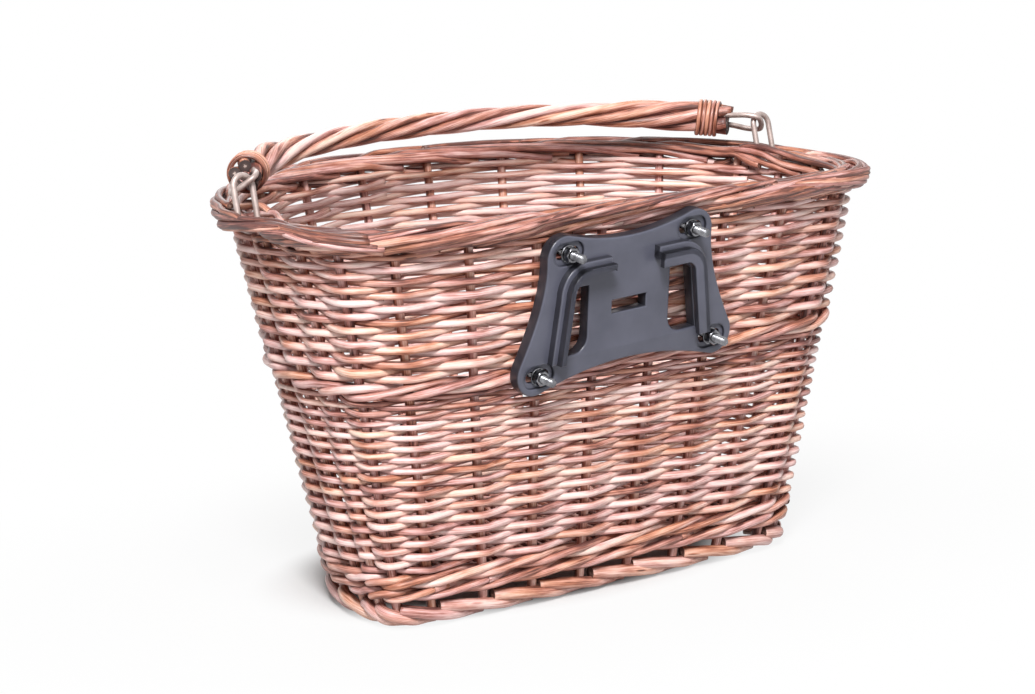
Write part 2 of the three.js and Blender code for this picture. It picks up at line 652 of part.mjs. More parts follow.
function prism(shape, from, to) {
  const options = { depth: to - from, bevelEnabled: false, curveSegments: ARC_STEPS };
  return new THREE.ExtrudeGeometry(shape, options).translate(0, 0, from);
}

function roundEndedSlot(x, y, length, width) {
  const shape = new THREE.Shape();
  const straight = (length - width) / 2;
  shape.absarc(x + straight, y, width / 2, -Math.PI / 2, Math.PI / 2);
  shape.absarc(x - straight, y, width / 2, Math.PI / 2, 1.5 * Math.PI);
  return shape;
}

function mirrored(shape) {
  return new THREE.Shape(shape.getPoints(ARC_STEPS).map((point) => new THREE.Vector2(-point.x, point.y)));
}

// A strip of the right-hand guide rail between two distances in from its outer edge
function railStrip(near, far) {
  const bendY = RAIL_TOP - RAIL_BEND_RADIUS;
  const shape = new THREE.Shape();
  shape.moveTo(RAIL_START, RAIL_TOP - near);
  shape.lineTo(RAIL_BEND_X, RAIL_TOP - near);
  shape.absarc(RAIL_BEND_X, bendY, RAIL_BEND_RADIUS - near, Math.PI / 2, 0, true);
  shape.lineTo(RAIL_FOOT_X - near, RAIL_FOOT);
  shape.lineTo(RAIL_FOOT_X - far, RAIL_FOOT);
  shape.absarc(RAIL_BEND_X, bendY, RAIL_BEND_RADIUS - far, 0, Math.PI / 2);
  shape.lineTo(RAIL_START, RAIL_TOP - far);
  return shape;
}

// The window under the rail's lip, which frees the undercut
function railWindow() {
  const wallFace = RAIL_LEDGE + RAIL_WALL;
  const outerTop = RAIL_BEND_X + RAIL_BEND_RADIUS - wallFace - 2 * CLEARANCE;
  const outerBottom = RAIL_FOOT_X - wallFace - 2 * CLEARANCE;
  const shape = new THREE.Shape();
  shape.moveTo(WINDOW_INNER_X, WINDOW_TOP);
  const cornerX = WINDOW_INNER_X + WINDOW_RADIUS;
  const cornerY = WINDOW_BOTTOM + WINDOW_RADIUS;
  shape.lineTo(WINDOW_INNER_X, cornerY);
  shape.absarc(cornerX, cornerY, WINDOW_RADIUS, Math.PI, 1.5 * Math.PI);
  shape.lineTo(outerBottom, WINDOW_BOTTOM);
  shape.lineTo(outerTop, RAIL_TOP - RAIL_BEND_RADIUS);
  shape.lineTo(outerTop - RAIL_LEDGE, WINDOW_TOP);
  return shape;
}

function catchHole() {
  const shape = new THREE.Shape();
  shape.moveTo(-CATCH_WIDTH / 2, CATCH_CENTRE - CATCH_HEIGHT / 2);
  shape.lineTo(CATCH_WIDTH / 2, CATCH_CENTRE - CATCH_HEIGHT / 2);
  shape.lineTo(CATCH_WIDTH / 2, CATCH_CENTRE + CATCH_HEIGHT / 2);
  shape.lineTo(-CATCH_WIDTH / 2, CATCH_CENTRE + CATCH_HEIGHT / 2);
  return shape;
}

const front = PLATE_DEPTH;
const lipBack = front + RAIL_HEIGHT - RAIL_LIP_THICKNESS;
const railStrips = [
  [railStrip(0, RAIL_LEDGE + RAIL_WALL), front - PLATE_THICKNESS, lipBack],
  [railStrip(RAIL_LEDGE, RAIL_LEDGE + RAIL_WALL), front - PLATE_THICKNESS, front + RAIL_HEIGHT],
  [railStrip(RAIL_LEDGE, RAIL_LEDGE + RAIL_WALL + RAIL_LIP), lipBack, front + RAIL_HEIGHT],
];
const rails = railStrips.flatMap(([shape, from, to]) =>
  [shape, mirrored(shape)].map((outline) => prism(outline, from, to)),
);
const pan = prism(plateOutline(0), 0, front);
const hollow = prism(plateOutline(PLATE_SKIRT), -PLATE_DEPTH, front - PLATE_THICKNESS);
const openings = [railWindow(), mirrored(railWindow()), catchHole()];
const through = openings.map((shape) => prism(shape, 0, front + CLEARANCE));
const slots = boltPlaces.flatMap(({ x, y }) => [
  prism(roundEndedSlot(x, y, SLOT_LENGTH, SLOT_WIDTH), 0, front + CLEARANCE),
  prism(roundEndedSlot(x, y, RECESS_LENGTH, RECESS_WIDTH), front - RECESS_DEPTH, front + CLEARANCE),
]);
const panBody = solidOf(cutBy(pan, [hollow, ...through, ...slots]));
const plateBody = rails.reduce((body, rail) => body.add(solidOf(rail)), panBody);
addPiece(plate, 'mount_plate', geometryOf(plateBody), BLACK_PLASTIC);

// Fasteners, stacked out of the wall along the plate's Z
function ringPrism(outline, height) {
  const hole = new THREE.Path().absarc(0, 0, BOLT_DIAMETER / 2 + CLEARANCE, 0, 2 * Math.PI);
  outline.holes.push(hole);
  const options = { depth: height, bevelEnabled: false, curveSegments: ROUND_SIDES / 2 };
  return new THREE.ExtrudeGeometry(outline, options);
}

function washer(diameter, thickness) {
  return ringPrism(new THREE.Shape().absarc(0, 0, diameter / 2, 0, 2 * Math.PI), thickness);
}

function hexagonNut() {
  const corner = NUT_ACROSS_FLATS / Math.sqrt(3);
  const corners = count(6).map((i) => {
    const angle = (i * Math.PI) / 3;
    return new THREE.Vector2(corner * Math.cos(angle), corner * Math.sin(angle));
  });
  return ringPrism(new THREE.Shape(corners), NUT_HEIGHT);
}

function bolt(length) {
  const shank = BOLT_DIAMETER / 2;
  const head = BOLT_HEAD_DIAMETER / 2;
  const profile = [
    [0, -BOLT_HEAD_HEIGHT],
    [head * BOLT_HEAD_CROWN, -BOLT_HEAD_HEIGHT],
    [head, -BOLT_HEAD_HEIGHT * BOLT_HEAD_EDGE],
    [head, 0],
    [shank, 0],
    [shank, length],
    [0, length],
  ].map(([radius, height]) => new THREE.Vector2(radius, height));
  return new THREE.LatheGeometry(profile, ROUND_SIDES).rotateX(Math.PI / 2);
}

const backingZ = -2 * wallHalf - BACKING_THICKNESS;
const boltZ = backingZ - CLEARANCE;
const washerZ = front - RECESS_DEPTH + CLEARANCE;
const nutZ = washerZ + WASHER_THICKNESS + CLEARANCE;
const boltLength = nutZ + NUT_HEIGHT + BOLT_END - boltZ;
boltPlaces.forEach(({ name, x, y }) => {
  const stack = [
    [`bolt_${name}`, bolt(boltLength), boltZ],
    [`backing_washer_${name}`, washer(BACKING_DIAMETER, BACKING_THICKNESS), backingZ],
    [`washer_${name}`, washer(WASHER_DIAMETER, WASHER_THICKNESS), washerZ],
    [`nut_${name}`, hexagonNut(), nutZ],
  ];
  stack.forEach(([piece, geometry, z]) => {
    addPiece(plate, piece, geometry, BRIGHT_STEEL).position.set(x, y, z);
  });
});

// The origin is on the floor, in the middle of the whole basket's box
const assembly = new THREE.Group();
assembly.add(basket);
const box = new THREE.Box3().setFromObject(basket, true);
const middle = box.getCenter(new THREE.Vector3());
basket.position.set(-middle.x, -middle.y, -box.min.z);

export default assembly;
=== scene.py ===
import json
import math
import random

import bpy
import numpy as np
from mathutils import Matrix, Vector


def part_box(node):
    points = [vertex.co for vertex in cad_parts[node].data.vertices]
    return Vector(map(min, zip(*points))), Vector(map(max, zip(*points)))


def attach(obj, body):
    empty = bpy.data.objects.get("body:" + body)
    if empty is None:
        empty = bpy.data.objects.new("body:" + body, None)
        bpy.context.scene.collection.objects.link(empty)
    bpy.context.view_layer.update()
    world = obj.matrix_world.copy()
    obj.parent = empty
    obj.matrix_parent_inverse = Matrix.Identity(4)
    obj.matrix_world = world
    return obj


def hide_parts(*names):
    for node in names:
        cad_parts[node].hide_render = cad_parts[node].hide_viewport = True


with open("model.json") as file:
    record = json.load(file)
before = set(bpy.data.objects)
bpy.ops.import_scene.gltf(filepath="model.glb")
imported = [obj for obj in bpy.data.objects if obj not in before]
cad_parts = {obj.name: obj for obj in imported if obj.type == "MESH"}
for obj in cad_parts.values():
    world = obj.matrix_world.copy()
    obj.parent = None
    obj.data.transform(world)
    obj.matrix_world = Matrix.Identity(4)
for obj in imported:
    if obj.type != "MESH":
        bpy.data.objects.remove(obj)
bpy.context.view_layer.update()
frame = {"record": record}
rng = random.Random(7)

# Lengths are millimetres until a mesh is written, in metres
MM = 0.001

# Tub outline along the wall's middle, at the floor and at the rim
BASE_HALF_WIDTH = 142
BASE_BACK = 49
BASE_FRONT = 94
BASE_WIDEST_Y = -25
RIM_HALF_WIDTH = 193
RIM_BACK = 76
RIM_FRONT = 150
RIM_Z = 230
BACK_SQUARENESS = 5.5
FRONT_SQUARENESS = 2

# Lean of the flat back
WALL_SLOPE = math.atan2(RIM_BACK - BASE_BACK, RIM_Z)

# Woven bands, bottom and top, and the border's overhang
LOWER_WEAVE = (31.5, 132.5)
UPPER_WEAVE = (142.5, 218)
BORDER_OVERHANG = 3.5

# Stakes, counted on one half of the outline
BACK_STAKES = 4
SIDE_STAKES = 3
FRONT_STAKES = 5
STAKES = 2 * (BACK_STAKES + SIDE_STAKES + FRONT_STAKES)
BACK_STAKE_PITCH = 47
FRONT_STAKE_PITCH = 51
STAKE_RADIUS = 2.75

# Wire links: setback as a share of a side pitch, offset from the wall
LINK_SETBACK = 0.59
LINK_OFFSET = 2.0
LINK_RADIUS = 6.15
WIRE_RADIUS = 1.7

mounts = {mount["name"]: mount for mount in frame["record"]["mounts"]}
joints = {joint["name"]: joint for joint in frame["record"]["behaviour"]["joints"]}
SHIFT_Y = mounts["foot_rest"]["pos_m"][1] / MM + BASE_BACK


# Wall of the tub
def lerp(a, b, share):
    return a + (b - a) * share


def smoothstep(low, high, value):
    t = np.clip((value - low) / (high - low), 0, 1)
    return t * t * (3 - 2 * t)


def outline(turn, z):
    """X and Y of the wall's middle, at a turn round the tub and a height."""
    share = z / RIM_Z
    c, s = np.cos(turn), np.sin(turn)
    power = np.where(s < 0, BACK_SQUARENESS, FRONT_SQUARENESS)
    reach = (np.abs(c) ** power + np.abs(s) ** power) ** (-1 / power)
    half_width = lerp(BASE_HALF_WIDTH, RIM_HALF_WIDTH, share)
    back = lerp(BASE_BACK + BASE_WIDEST_Y, RIM_BACK, share)
    front = lerp(BASE_FRONT - BASE_WIDEST_Y, RIM_FRONT, share)
    depth = np.where(s < 0, back, front)
    return half_width * reach * c, lerp(BASE_WIDEST_Y, 0, share) + depth * reach * s + SHIFT_Y


def unit(vectors):
    return vectors / np.linalg.norm(vectors, axis=1)[:, None]


def distances(points):
    """Distance of each point along a line, from the first."""
    return np.concatenate([[0], np.cumsum(np.linalg.norm(np.diff(points, axis=0), axis=1))])


# Turn against distance along the rim, from the middle of the back
TURN_POINTS = 7201
TURN_NUDGE = 1e-4
TURN_TABLE = np.linspace(-math.pi / 2, 1.5 * math.pi, TURN_POINTS)
DISTANCE_TABLE = distances(np.stack(outline(TURN_TABLE, np.full(TURN_POINTS, RIM_Z)), -1))
RIM_LENGTH = DISTANCE_TABLE[-1]


def stake_places():
    """Distances along the rim of the stakes and the right link."""
    back = [(i + 0.5) * BACK_STAKE_PITCH for i in range(BACK_STAKES)]
    front = [RIM_LENGTH / 2 - (i + 0.5) * FRONT_STAKE_PITCH for i in range(FRONT_STAKES)][::-1]
    side_pitch = (front[0] - back[-1]) / (SIDE_STAKES + 1)
    side = [back[-1] + (i + 1) * side_pitch for i in range(SIDE_STAKES)]
    half = back + side + front
    both = half + [RIM_LENGTH - place for place in half[::-1]]
    return np.array(both), front[0] - side_pitch * LINK_SETBACK


STAKE_PLACES, LINK_PLACE = stake_places()
STAKE_STEPS = np.arange(-STAKES, 3 * STAKES)
STEP_PLACES = np.concatenate([STAKE_PLACES + lap * RIM_LENGTH for lap in range(-1, 3)])


def place_at(u):
    """Distance along the rim of a place counted in stakes."""
    return np.interp(u, STAKE_STEPS, STEP_PLACES)


def wall(u, z, offset):
    """Points on the wall and its outward normals, at a place counted in stakes."""
    u, z, offset = np.broadcast_arrays(np.asarray(u, float), z, offset)
    turn = np.interp(place_at(u) % RIM_LENGTH, DISTANCE_TABLE, TURN_TABLE)
    x, y = outline(turn, z)
    x1, y1 = outline(turn + TURN_NUDGE, z)
    x0, y0 = outline(turn - TURN_NUDGE, z)
    along = unit(np.stack([x1 - x0, y1 - y0], -1))
    normal = np.stack([along[:, 1], -along[:, 0], np.zeros_like(x)], -1)
    return np.stack([x, y, z], -1) + normal * offset[:, None], normal


# Rods
def ring_faces(n, m, closed, first=0):
    """Quads between n rings of m points, the last joined to the first if closed."""
    rows, j0 = np.arange(n if closed else n - 1), np.arange(m)[None]
    i0, i1 = first + rows[:, None] * m, first + ((rows + 1) % n)[:, None] * m
    j1 = (j0 + 1) % m
    return np.stack([i0 + j0, i0 + j1, i1 + j1, i1 + j0], -1).reshape(-1, 4).tolist()


class Rods:
    """Gathers round rods into one mesh."""

    def __init__(self, sides=8):
        self.sides = sides
        self.verts, self.faces, self.slots = [], [], []
        self.place, self.tint, self.seed, self.edge = [], [], [], []
        self.count = 0

    def add(self, centre, normal, radius, tint, closed=False, flat=1.0):
        """Adds a rod along its middle line. Its ends are cut unless it closes on itself."""
        centre = np.asarray(centre, float)
        n, m = len(centre), self.sides
        radius = np.broadcast_to(np.asarray(radius, float), n)
        tints = np.broadcast_to(np.asarray(tint, float), n)
        angle = np.arange(m) * 2 * math.pi / m
        ca, sa = np.cos(angle), np.sin(angle)
        if closed:
            tangent = np.roll(centre, -1, 0) - np.roll(centre, 1, 0)
        else:
            tangent = np.gradient(centre, axis=0)
        tangent = unit(tangent)
        normal = unit(normal - (normal * tangent).sum(1)[:, None] * tangent)
        side = np.cross(tangent, normal)
        spread = normal[:, None] * ca[None, :, None] * flat + side[:, None] * sa[None, :, None]
        ring = centre[:, None] + radius[:, None, None] * spread
        length = distances(centre)
        along = np.broadcast_to(length[:, None], (n, m))
        place = np.stack([along, radius[:, None] * ca[None], radius[:, None] * sa[None]], -1)
        first = self.count
        quads = ring_faces(n, m, closed, first)
        self.faces += quads
        self.slots += [0] * len(quads)
        self.verts.append(ring.reshape(-1, 3))
        self.place.append(place.reshape(-1, 3))
        self.tint.append(np.repeat(tints, m))
        # How far round to its flank each point lies, the mask for the painted groove shade
        self.edge.append(np.tile(np.abs(sa), n))
        total = n * m
        if not closed:
            middle, last = first + total, first + total - m
            for j in range(m):
                k = (j + 1) % m
                self.faces.append([first + k, first + j, middle])
                self.faces.append([last + j, last + k, middle + 1])
            self.slots += [1] * (2 * m)
            self.verts.append(centre[[0, -1]])
            self.place.append([[0, 0, 0], [length[-1], 0, 0]])
            self.tint.append(tints[[0, -1]])
            self.edge.append([0, 0])
            total += 2
        self.seed.append(np.full(total, rng.random()))
        self.count += total

    def build(self, name, materials, body, slot, *nodes):
        """Makes the piece, with a finish for the rods and one for their cut ends."""
        mesh = bpy.data.meshes.new(name)
        mesh.from_pydata((np.concatenate(self.verts) * MM).tolist(), [], self.faces)
        for material in materials:
            mesh.materials.append(material)
        mesh.polygons.foreach_set("material_index", self.slots)
        mesh.polygons.foreach_set("use_smooth", [slot == 0 for slot in self.slots])
        put = mesh.attributes.new("rod_place", "FLOAT_VECTOR", "POINT")
        put.data.foreach_set("vector", np.concatenate(self.place).astype(np.float32).ravel())
        for key, values in (("rod_tint", self.tint), ("rod_seed", self.seed), ("rod_shade_edge", self.edge)):
            put = mesh.attributes.new(key, "FLOAT", "POINT")
            put.data.foreach_set("value", np.concatenate(values).astype(np.float32))
        keep(place_object(name, mesh), body, slot, *nodes)


def place_object(name, data):
    obj = bpy.data.objects.new(name, data)
    bpy.context.scene.collection.objects.link(obj)
    return obj


def keep(obj, body, slot, *nodes):
    """Puts a piece on its body, in place of its CAD nodes. The slot is not used."""
    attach(obj, body)
    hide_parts(*nodes)


def wander(u, size):
    """A slow seeded wobble along a rod."""
    total = np.zeros_like(u)
    for rate in (0.7, 1.9, 3.7):
        total += np.sin(u * rate + rng.uniform(0, 6.3)) * rng.uniform(0.3, 1) / 2
    return total * size


# Materials: tones of the willow from dark to pale, in two families
PINK_STOPS = [
    (0.0, (0.090, 0.030, 0.026)),
    (0.25, (0.340, 0.130, 0.100)),
    (0.5, (0.545, 0.285, 0.262)),
    (0.75, (0.735, 0.490, 0.462)),
    (1.0, (0.835, 0.625, 0.585)),
]
ORANGE_STOPS = [
    (0.0, (0.095, 0.030, 0.018)),
    (0.25, (0.360, 0.122, 0.064)),
    (0.5, (0.572, 0.264, 0.172)),
    (0.75, (0.750, 0.452, 0.340)),
    (1.0, (0.835, 0.600, 0.490)),
]

# Grain: noise cells per millimetre along and across a rod, and how far each moves tone or hue
MOTTLE_SCALES = (0.045, 0.22, 0.22)
MOTTLE_TONE = 1.25
STREAK_SCALES = (0.045, 1.5, 1.5)
STREAK_TONE = 1.6
FINE_SCALES = (0.35, 2.4, 2.4)
DRIFT_SCALES = (0.018, 0.1, 0.1)
DRIFT_HUE = 3.0
SEED_HUE = 0.9
SEED_SHIFT = 91.0

# Bud scars, and painted shade along each rod's flanks, in the grooves where it meets its neighbours
SCAR_SCALES = (0.03, 0.16, 0.16)
SCAR_EDGE = (0.06, 0.15)
SCAR_DARKENING = 0.42
GROOVE_SHADE_POWER = 3.0
PAINTED_GROOVE_SHADE = 0.48

# Relief of streaks, fine grain and scars, and the varnish
STREAK_RELIEF, FINE_RELIEF, SCAR_RELIEF = 0.6, 0.4, 0.8
VARNISH_WEIGHT = 0.16
VARNISH_ROUGHNESS = 0.28

# Cut ends: reach of the darkest edge in millimetres, unevenness, shade of that edge
END_REACH = 3.0
END_GRAIN = 2.2
END_SHADE = 0.6

# Moulded plastic: grained faces, side walls darkened with painted shade, and where one turns into the other
FACE_STOPS = [(0.3, (0.072, 0.074, 0.100)), (0.7, (0.094, 0.096, 0.128))]
SIDE_SHADE_STOPS = [(0.3, (0.016, 0.016, 0.021)), (0.7, (0.026, 0.026, 0.034))]
FACING = (0.1, 0.95)


def new_material(name):
    material = bpy.data.materials.new(name)
    material.use_nodes = True
    tree = material.node_tree
    return material, tree, tree.nodes["Principled BSDF"]


def fill(node, inputs):
    """Links or sets a node's inputs, given by name or, as i0 and so on, by place."""
    for key, value in inputs.items():
        socket = node.inputs[int(key[1:]) if key[0] == "i" and key[1:].isdigit() else key]
        if isinstance(value, bpy.types.NodeSocket):
            node.id_data.links.new(value, socket)
        else:
            socket.default_value = value


def add_node(tree, kind, settings=None, **inputs):
    made = tree.nodes.new("ShaderNode" + kind)
    for key, value in (settings or {}).items():
        setattr(made, key, value)
    fill(made, inputs)
    return made


def maths(operation, a, b=0.0, clamp=False):
    settings = {"operation": operation, "use_clamp": clamp}
    return add_node(a.id_data, "Math", settings, i0=a, i1=b).outputs[0]


def vector_maths(operation, a, b=(0, 0, 0)):
    made = add_node(a.id_data, "VectorMath", {"operation": operation}, i0=a, i1=b)
    return made.outputs["Value" if operation in ("DOT_PRODUCT", "LENGTH") else "Vector"]


def centred(value, gain):
    """A noise value moved to lie about nought, times a gain."""
    return maths("MULTIPLY", maths("SUBTRACT", value, 0.5), gain)


def map_range(value, target, source=(0, 1), smooth=False):
    settings = {"clamp": True, "interpolation_type": "SMOOTHSTEP" if smooth else "LINEAR"}
    limits = zip(("From Min", "From Max", "To Min", "To Max"), (*source, *target))
    return add_node(value.id_data, "MapRange", settings, Value=value, **dict(limits)).outputs[0]


def noise(vector, scale, detail=3.0, rough=0.55):
    inputs = {"Vector": vector, "Scale": scale, "Detail": detail, "Roughness": rough}
    return add_node(vector.id_data, "TexNoise", {"noise_dimensions": "3D"}, **inputs).outputs[0]


def ramp(value, stops):
    made = add_node(value.id_data, "ValToRGB", Fac=value)
    ends = made.color_ramp.elements
    while len(ends) < len(stops):
        ends.new(0.5)
    for end, (position, colour) in zip(ends, stops):
        end.position = position
        end.color = (*colour, 1)
    return made.outputs[0]


def mix_colour(share, first, second):
    made = add_node(share.id_data, "Mix", {"data_type": "RGBA"}, i0=share, i6=first, i7=second)
    return made.outputs[2]


def dress(shader, colour, roughness, height, strength, depth):
    """Links colour, roughness and a bump of that strength and depth in metres to a shader."""
    bump = add_node(shader.id_data, "Bump", Strength=strength, Distance=depth, Height=height)
    fill(shader, {"Base Color": colour, "Roughness": roughness, "Normal": bump.outputs[0]})


def rod_value(tree, key, output="Fac"):
    return add_node(tree, "Attribute", {"attribute_name": key}).outputs[output]


def stretched(place, seed, scales):
    """A place on a rod, scaled, and moved by the rod's seed."""
    far = maths("MULTIPLY", seed, SEED_SHIFT)
    shift = add_node(seed.id_data, "CombineXYZ", X=far, Y=seed, Z=seed).outputs[0]
    return vector_maths("ADD", vector_maths("MULTIPLY", place, scales), shift)


def willow(name, warmth, rough=(0.4, 0.62)):
    """Varnished willow with grain, bud scars, and painted shade in the grooves between rods."""
    material, tree, shader = new_material(name)
    place = rod_value(tree, "rod_place", "Vector")
    tint, seed, edge = (rod_value(tree, key) for key in ("rod_tint", "rod_seed", "rod_shade_edge"))
    mottle = noise(stretched(place, seed, MOTTLE_SCALES), 1.0, 3.0)
    streak = noise(stretched(place, seed, STREAK_SCALES), 1.0, 4.0, 0.6)
    fine = noise(stretched(place, seed, FINE_SCALES), 1.0, 3.0)
    drift = noise(stretched(place, seed, DRIFT_SCALES), 1.0, 2.0)
    buds = stretched(place, seed, SCAR_SCALES)
    gap = add_node(tree, "TexVoronoi", {"feature": "F1"}, Vector=buds, Scale=1.0)
    scar = map_range(gap.outputs["Distance"], (1, 0), SCAR_EDGE)
    # Painted shade: each rod is darkened on its flanks, where neighbouring rods meet
    painted_groove_shade = maths("MULTIPLY", maths("POWER", edge, GROOVE_SHADE_POWER), PAINTED_GROOVE_SHADE)
    tone = maths("ADD", tint, centred(mottle, MOTTLE_TONE))
    tone = maths("ADD", tone, centred(streak, STREAK_TONE))
    tone = maths("SUBTRACT", tone, painted_groove_shade)
    tone = maths("SUBTRACT", tone, maths("MULTIPLY", scar, SCAR_DARKENING), clamp=True)
    hue = maths("ADD", centred(drift, DRIFT_HUE), centred(seed, SEED_HUE))
    hue = maths("ADD", hue, warmth, clamp=True)
    colour = mix_colour(hue, ramp(tone, PINK_STOPS), ramp(tone, ORANGE_STOPS))
    grain = maths("MULTIPLY", streak, STREAK_RELIEF)
    height = maths("ADD", grain, maths("MULTIPLY", fine, FINE_RELIEF))
    height = maths("ADD", height, maths("MULTIPLY", scar, SCAR_RELIEF))
    dress(shader, colour, map_range(mottle, rough), height, 0.45, 0.0006)
    fill(shader, {"Coat Weight": VARNISH_WEIGHT, "Coat Roughness": VARNISH_ROUGHNESS})
    return material


def cut_end(name, rim_colour, pith_colour):
    """A cut rod end: dark weathered wood round a pale pith."""
    material, tree, shader = new_material(name)
    place = rod_value(tree, "rod_place", "Vector")
    reach = vector_maths("LENGTH", vector_maths("MULTIPLY", place, (0, 1, 1)))
    grain = noise(place, 1.6, 4.0, 0.65)
    shade = maths("ADD", reach, centred(grain, END_GRAIN))
    shade = maths("DIVIDE", shade, END_REACH, clamp=True)
    edge_colour = tuple(c * END_SHADE for c in rim_colour)
    colour = ramp(shade, [(0.12, pith_colour), (0.34, rim_colour), (0.8, edge_colour)])
    dress(shader, colour, map_range(grain, (0.6, 0.85)), grain, 0.5, 0.0005)
    return material


def black_plastic(facing):
    """Plastic with a fine pale grain on what faces out, and painted shade that darkens its side walls."""
    material, tree, shader = new_material("black_plastic")
    place = add_node(tree, "TexCoord").outputs["Object"]
    cloud = noise(place, 45.0, 3.0)
    stipple = noise(place, 2600.0, 2.0)
    normal = add_node(tree, "NewGeometry").outputs["Normal"]
    share = map_range(vector_maths("DOT_PRODUCT", normal, facing), (0, 1), FACING, smooth=True)
    # Painted shade: walls turned away from the face are made much darker
    colour = mix_colour(share, ramp(cloud, SIDE_SHADE_STOPS), ramp(cloud, FACE_STOPS))
    dress(shader, colour, map_range(cloud, (0.24, 0.36)), stipple, 0.12, 0.0002)
    fill(shader, {"Specular IOR Level": 0.4})
    return material


def metal(name, dark, light, rough, scale, metallic):
    """Cloudy metal from a dark to a light tone, with a fine uneven gloss."""
    material, tree, shader = new_material(name)
    place = add_node(tree, "TexCoord").outputs["Object"]
    cloud = noise(place, scale, 4.0, 0.6)
    fine = noise(place, scale * 14, 3.0)
    colour = ramp(cloud, [(0.3, dark), (0.7, light)])
    dress(shader, colour, map_range(fine, rough), fine, 0.2, 0.0002)
    fill(shader, {"Metallic": metallic})
    return material


weave_willow = willow("woven_willow", 0.3)
stake_willow = willow("stake_willow", 0.3)
wale_willow = willow("waled_willow", 0.35)
border_willow = willow("border_willow", 0.4)
foot_willow = willow("foot_willow", 0.36)
handle_willow = willow("handle_willow", 0.55)
cane_finish = willow("binding_cane", 1.2, (0.3, 0.45))
willow_end = cut_end("cut_willow_end", (0.17, 0.08, 0.06), (0.5, 0.32, 0.25))
handle_end_finish = cut_end("cut_handle_end", (0.06, 0.035, 0.032), (0.46, 0.36, 0.32))
plastic = black_plastic((0, -math.cos(WALL_SLOPE), -math.sin(WALL_SLOPE)))
steel = metal("bright_steel", (0.10, 0.10, 0.11), (0.36, 0.36, 0.38), (0.18, 0.32), 160.0, 1.0)
wire_finish = metal("dull_wire", (0.30, 0.23, 0.21), (0.52, 0.43, 0.40), (0.36, 0.55), 140.0, 0.5)


def link_nearness(u, full, gone):
    """One beside a rim link, fading to nothing, with distances along the rim."""
    place = place_at(u) % RIM_LENGTH
    gaps = [np.abs(place - spot) for spot in (LINK_PLACE, RIM_LENGTH - LINK_PLACE)]
    return 1 - smoothstep(full, gone, np.minimum(*gaps))


# Stakes
STAKE_LOW, STAKE_HIGH = 6, 224


def build_stakes():
    rods = Rods(10)
    for i in range(STAKES):
        z = np.linspace(STAKE_LOW, STAKE_HIGH, 30)
        u = i + wander(z / 40, 0.012)
        offset = wander(z / 50, 0.25)
        radius = STAKE_RADIUS * (1.03 - 0.08 * z / STAKE_HIGH) * (1 + wander(z / 12, 0.025))
        rods.add(*wall(u, z, offset), radius, rng.uniform(0.45, 0.75))
    names = [f"stake_{i + 1:02d}" for i in range(STAKES)]
    rods.build("willow_stakes", [stake_willow, willow_end], "basket", "willow_stake", *names)


build_stakes()


# Woven walls: each row goes in front of one stake and behind the next
SAMPLES = 12
TAUTNESS = 0.995
ROW_FULLNESS = (1.06, 1.2)
ROW_TAPER = (1.06, 0.94)
ROW_LAP = 0.3
TOP_AT_LINKS = 214

# Tones: painted shade where a rod turns round a stake, and painted light that makes the front paler between
# these places
TURN_PAINTED_SHADE = 0.2
FRONT_PAINTED_LIGHT = 0.3
FRONT_STARTS, FRONT_ENDS = (6, 8.5), (14.5, 17)


def row_heights(bottom, top, first_pitch, last_pitch):
    count = round((top - bottom) / ((first_pitch + last_pitch) / 2))
    pitches = np.linspace(first_pitch, last_pitch, count)
    pitches *= (top - bottom) / pitches.sum()
    return bottom + np.cumsum(pitches) - pitches / 2, pitches


def weave_path(u, phase, radius):
    """Offset of a taut rod from the front of one stake to the back of the next."""
    swing = np.arcsin(TAUTNESS * np.cos(math.pi * (u + phase))) / math.asin(TAUTNESS)
    return (STAKE_RADIUS + radius) * swing


def weave_row(rods, z, pitch, phase, tone):
    """One round of two rods, which lap where the next begins."""
    first = 2 * rng.randrange(STAKES // 2) + 1 - phase
    split = 2 * rng.randint(4, 8)
    for start, length in ((first, split), (first + split, STAKES - split)):
        u = np.arange(start - ROW_LAP, start + length + ROW_LAP + 1e-4, 1 / SAMPLES)
        share = (u - u[0]) / (u[-1] - u[0])
        diameter = pitch * rng.uniform(*ROW_FULLNESS) * lerp(*ROW_TAPER, share)
        height = z + wander(u, 0.2) + 0.5 * pitch * (1 - smoothstep(0, 0.06, share))
        radius = diameter / 2 * (1 + wander(u * 2, 0.03))
        height = lerp(height, np.minimum(height, TOP_AT_LINKS), link_nearness(u, 5, 16))
        offset = weave_path(u, phase, radius)
        # Painted shade: the rod is darkened where it turns round a stake
        shaded_turn = smoothstep(0.6, 1, np.abs(offset) / (STAKE_RADIUS + radius))
        tint = tone + rng.gauss(0, 0.18) + wander(u, 0.12) - TURN_PAINTED_SHADE * shaded_turn
        # Painted light: the front's rods, whose inside is seen over the near rim, are made paler
        lap = u % STAKES
        tint = tint + FRONT_PAINTED_LIGHT * smoothstep(*FRONT_STARTS, lap) * (1 - smoothstep(*FRONT_ENDS, lap))
        rods.add(*wall(u, height, offset), radius, np.clip(tint, 0.08, 0.95))


def build_weave(name, node, band, first_pitch, last_pitch, tone):
    rods = Rods(8)
    heights, pitches = row_heights(*band, first_pitch, last_pitch)
    for i, (z, pitch) in enumerate(zip(heights, pitches)):
        weave_row(rods, z, pitch, i % 2, tone)
    rods.build(name, [weave_willow, willow_end], "basket", "willow_weave", node)


build_weave("woven_lower_wall", "lower_weave", LOWER_WEAVE, 4.0, 2.8, 0.74)
build_weave("woven_upper_wall", "upper_weave", UPPER_WEAVE, 4.2, 3.4, 0.71)


# Wales: three rods, each in front of two stakes and behind the third
WALE_RODS = 3
WALE_STEEPNESS = 1.35
WALE_LEAN_OUT = 0.45
WALE_TAPER = (1.08, 0.92)
WALE_TONE = 0.55


def smoothed(values):
    """Each value's mean with its two neighbours on both sides."""
    return np.convolve(np.pad(values, 2, mode="edge"), np.ones(5) / 5, "valid")


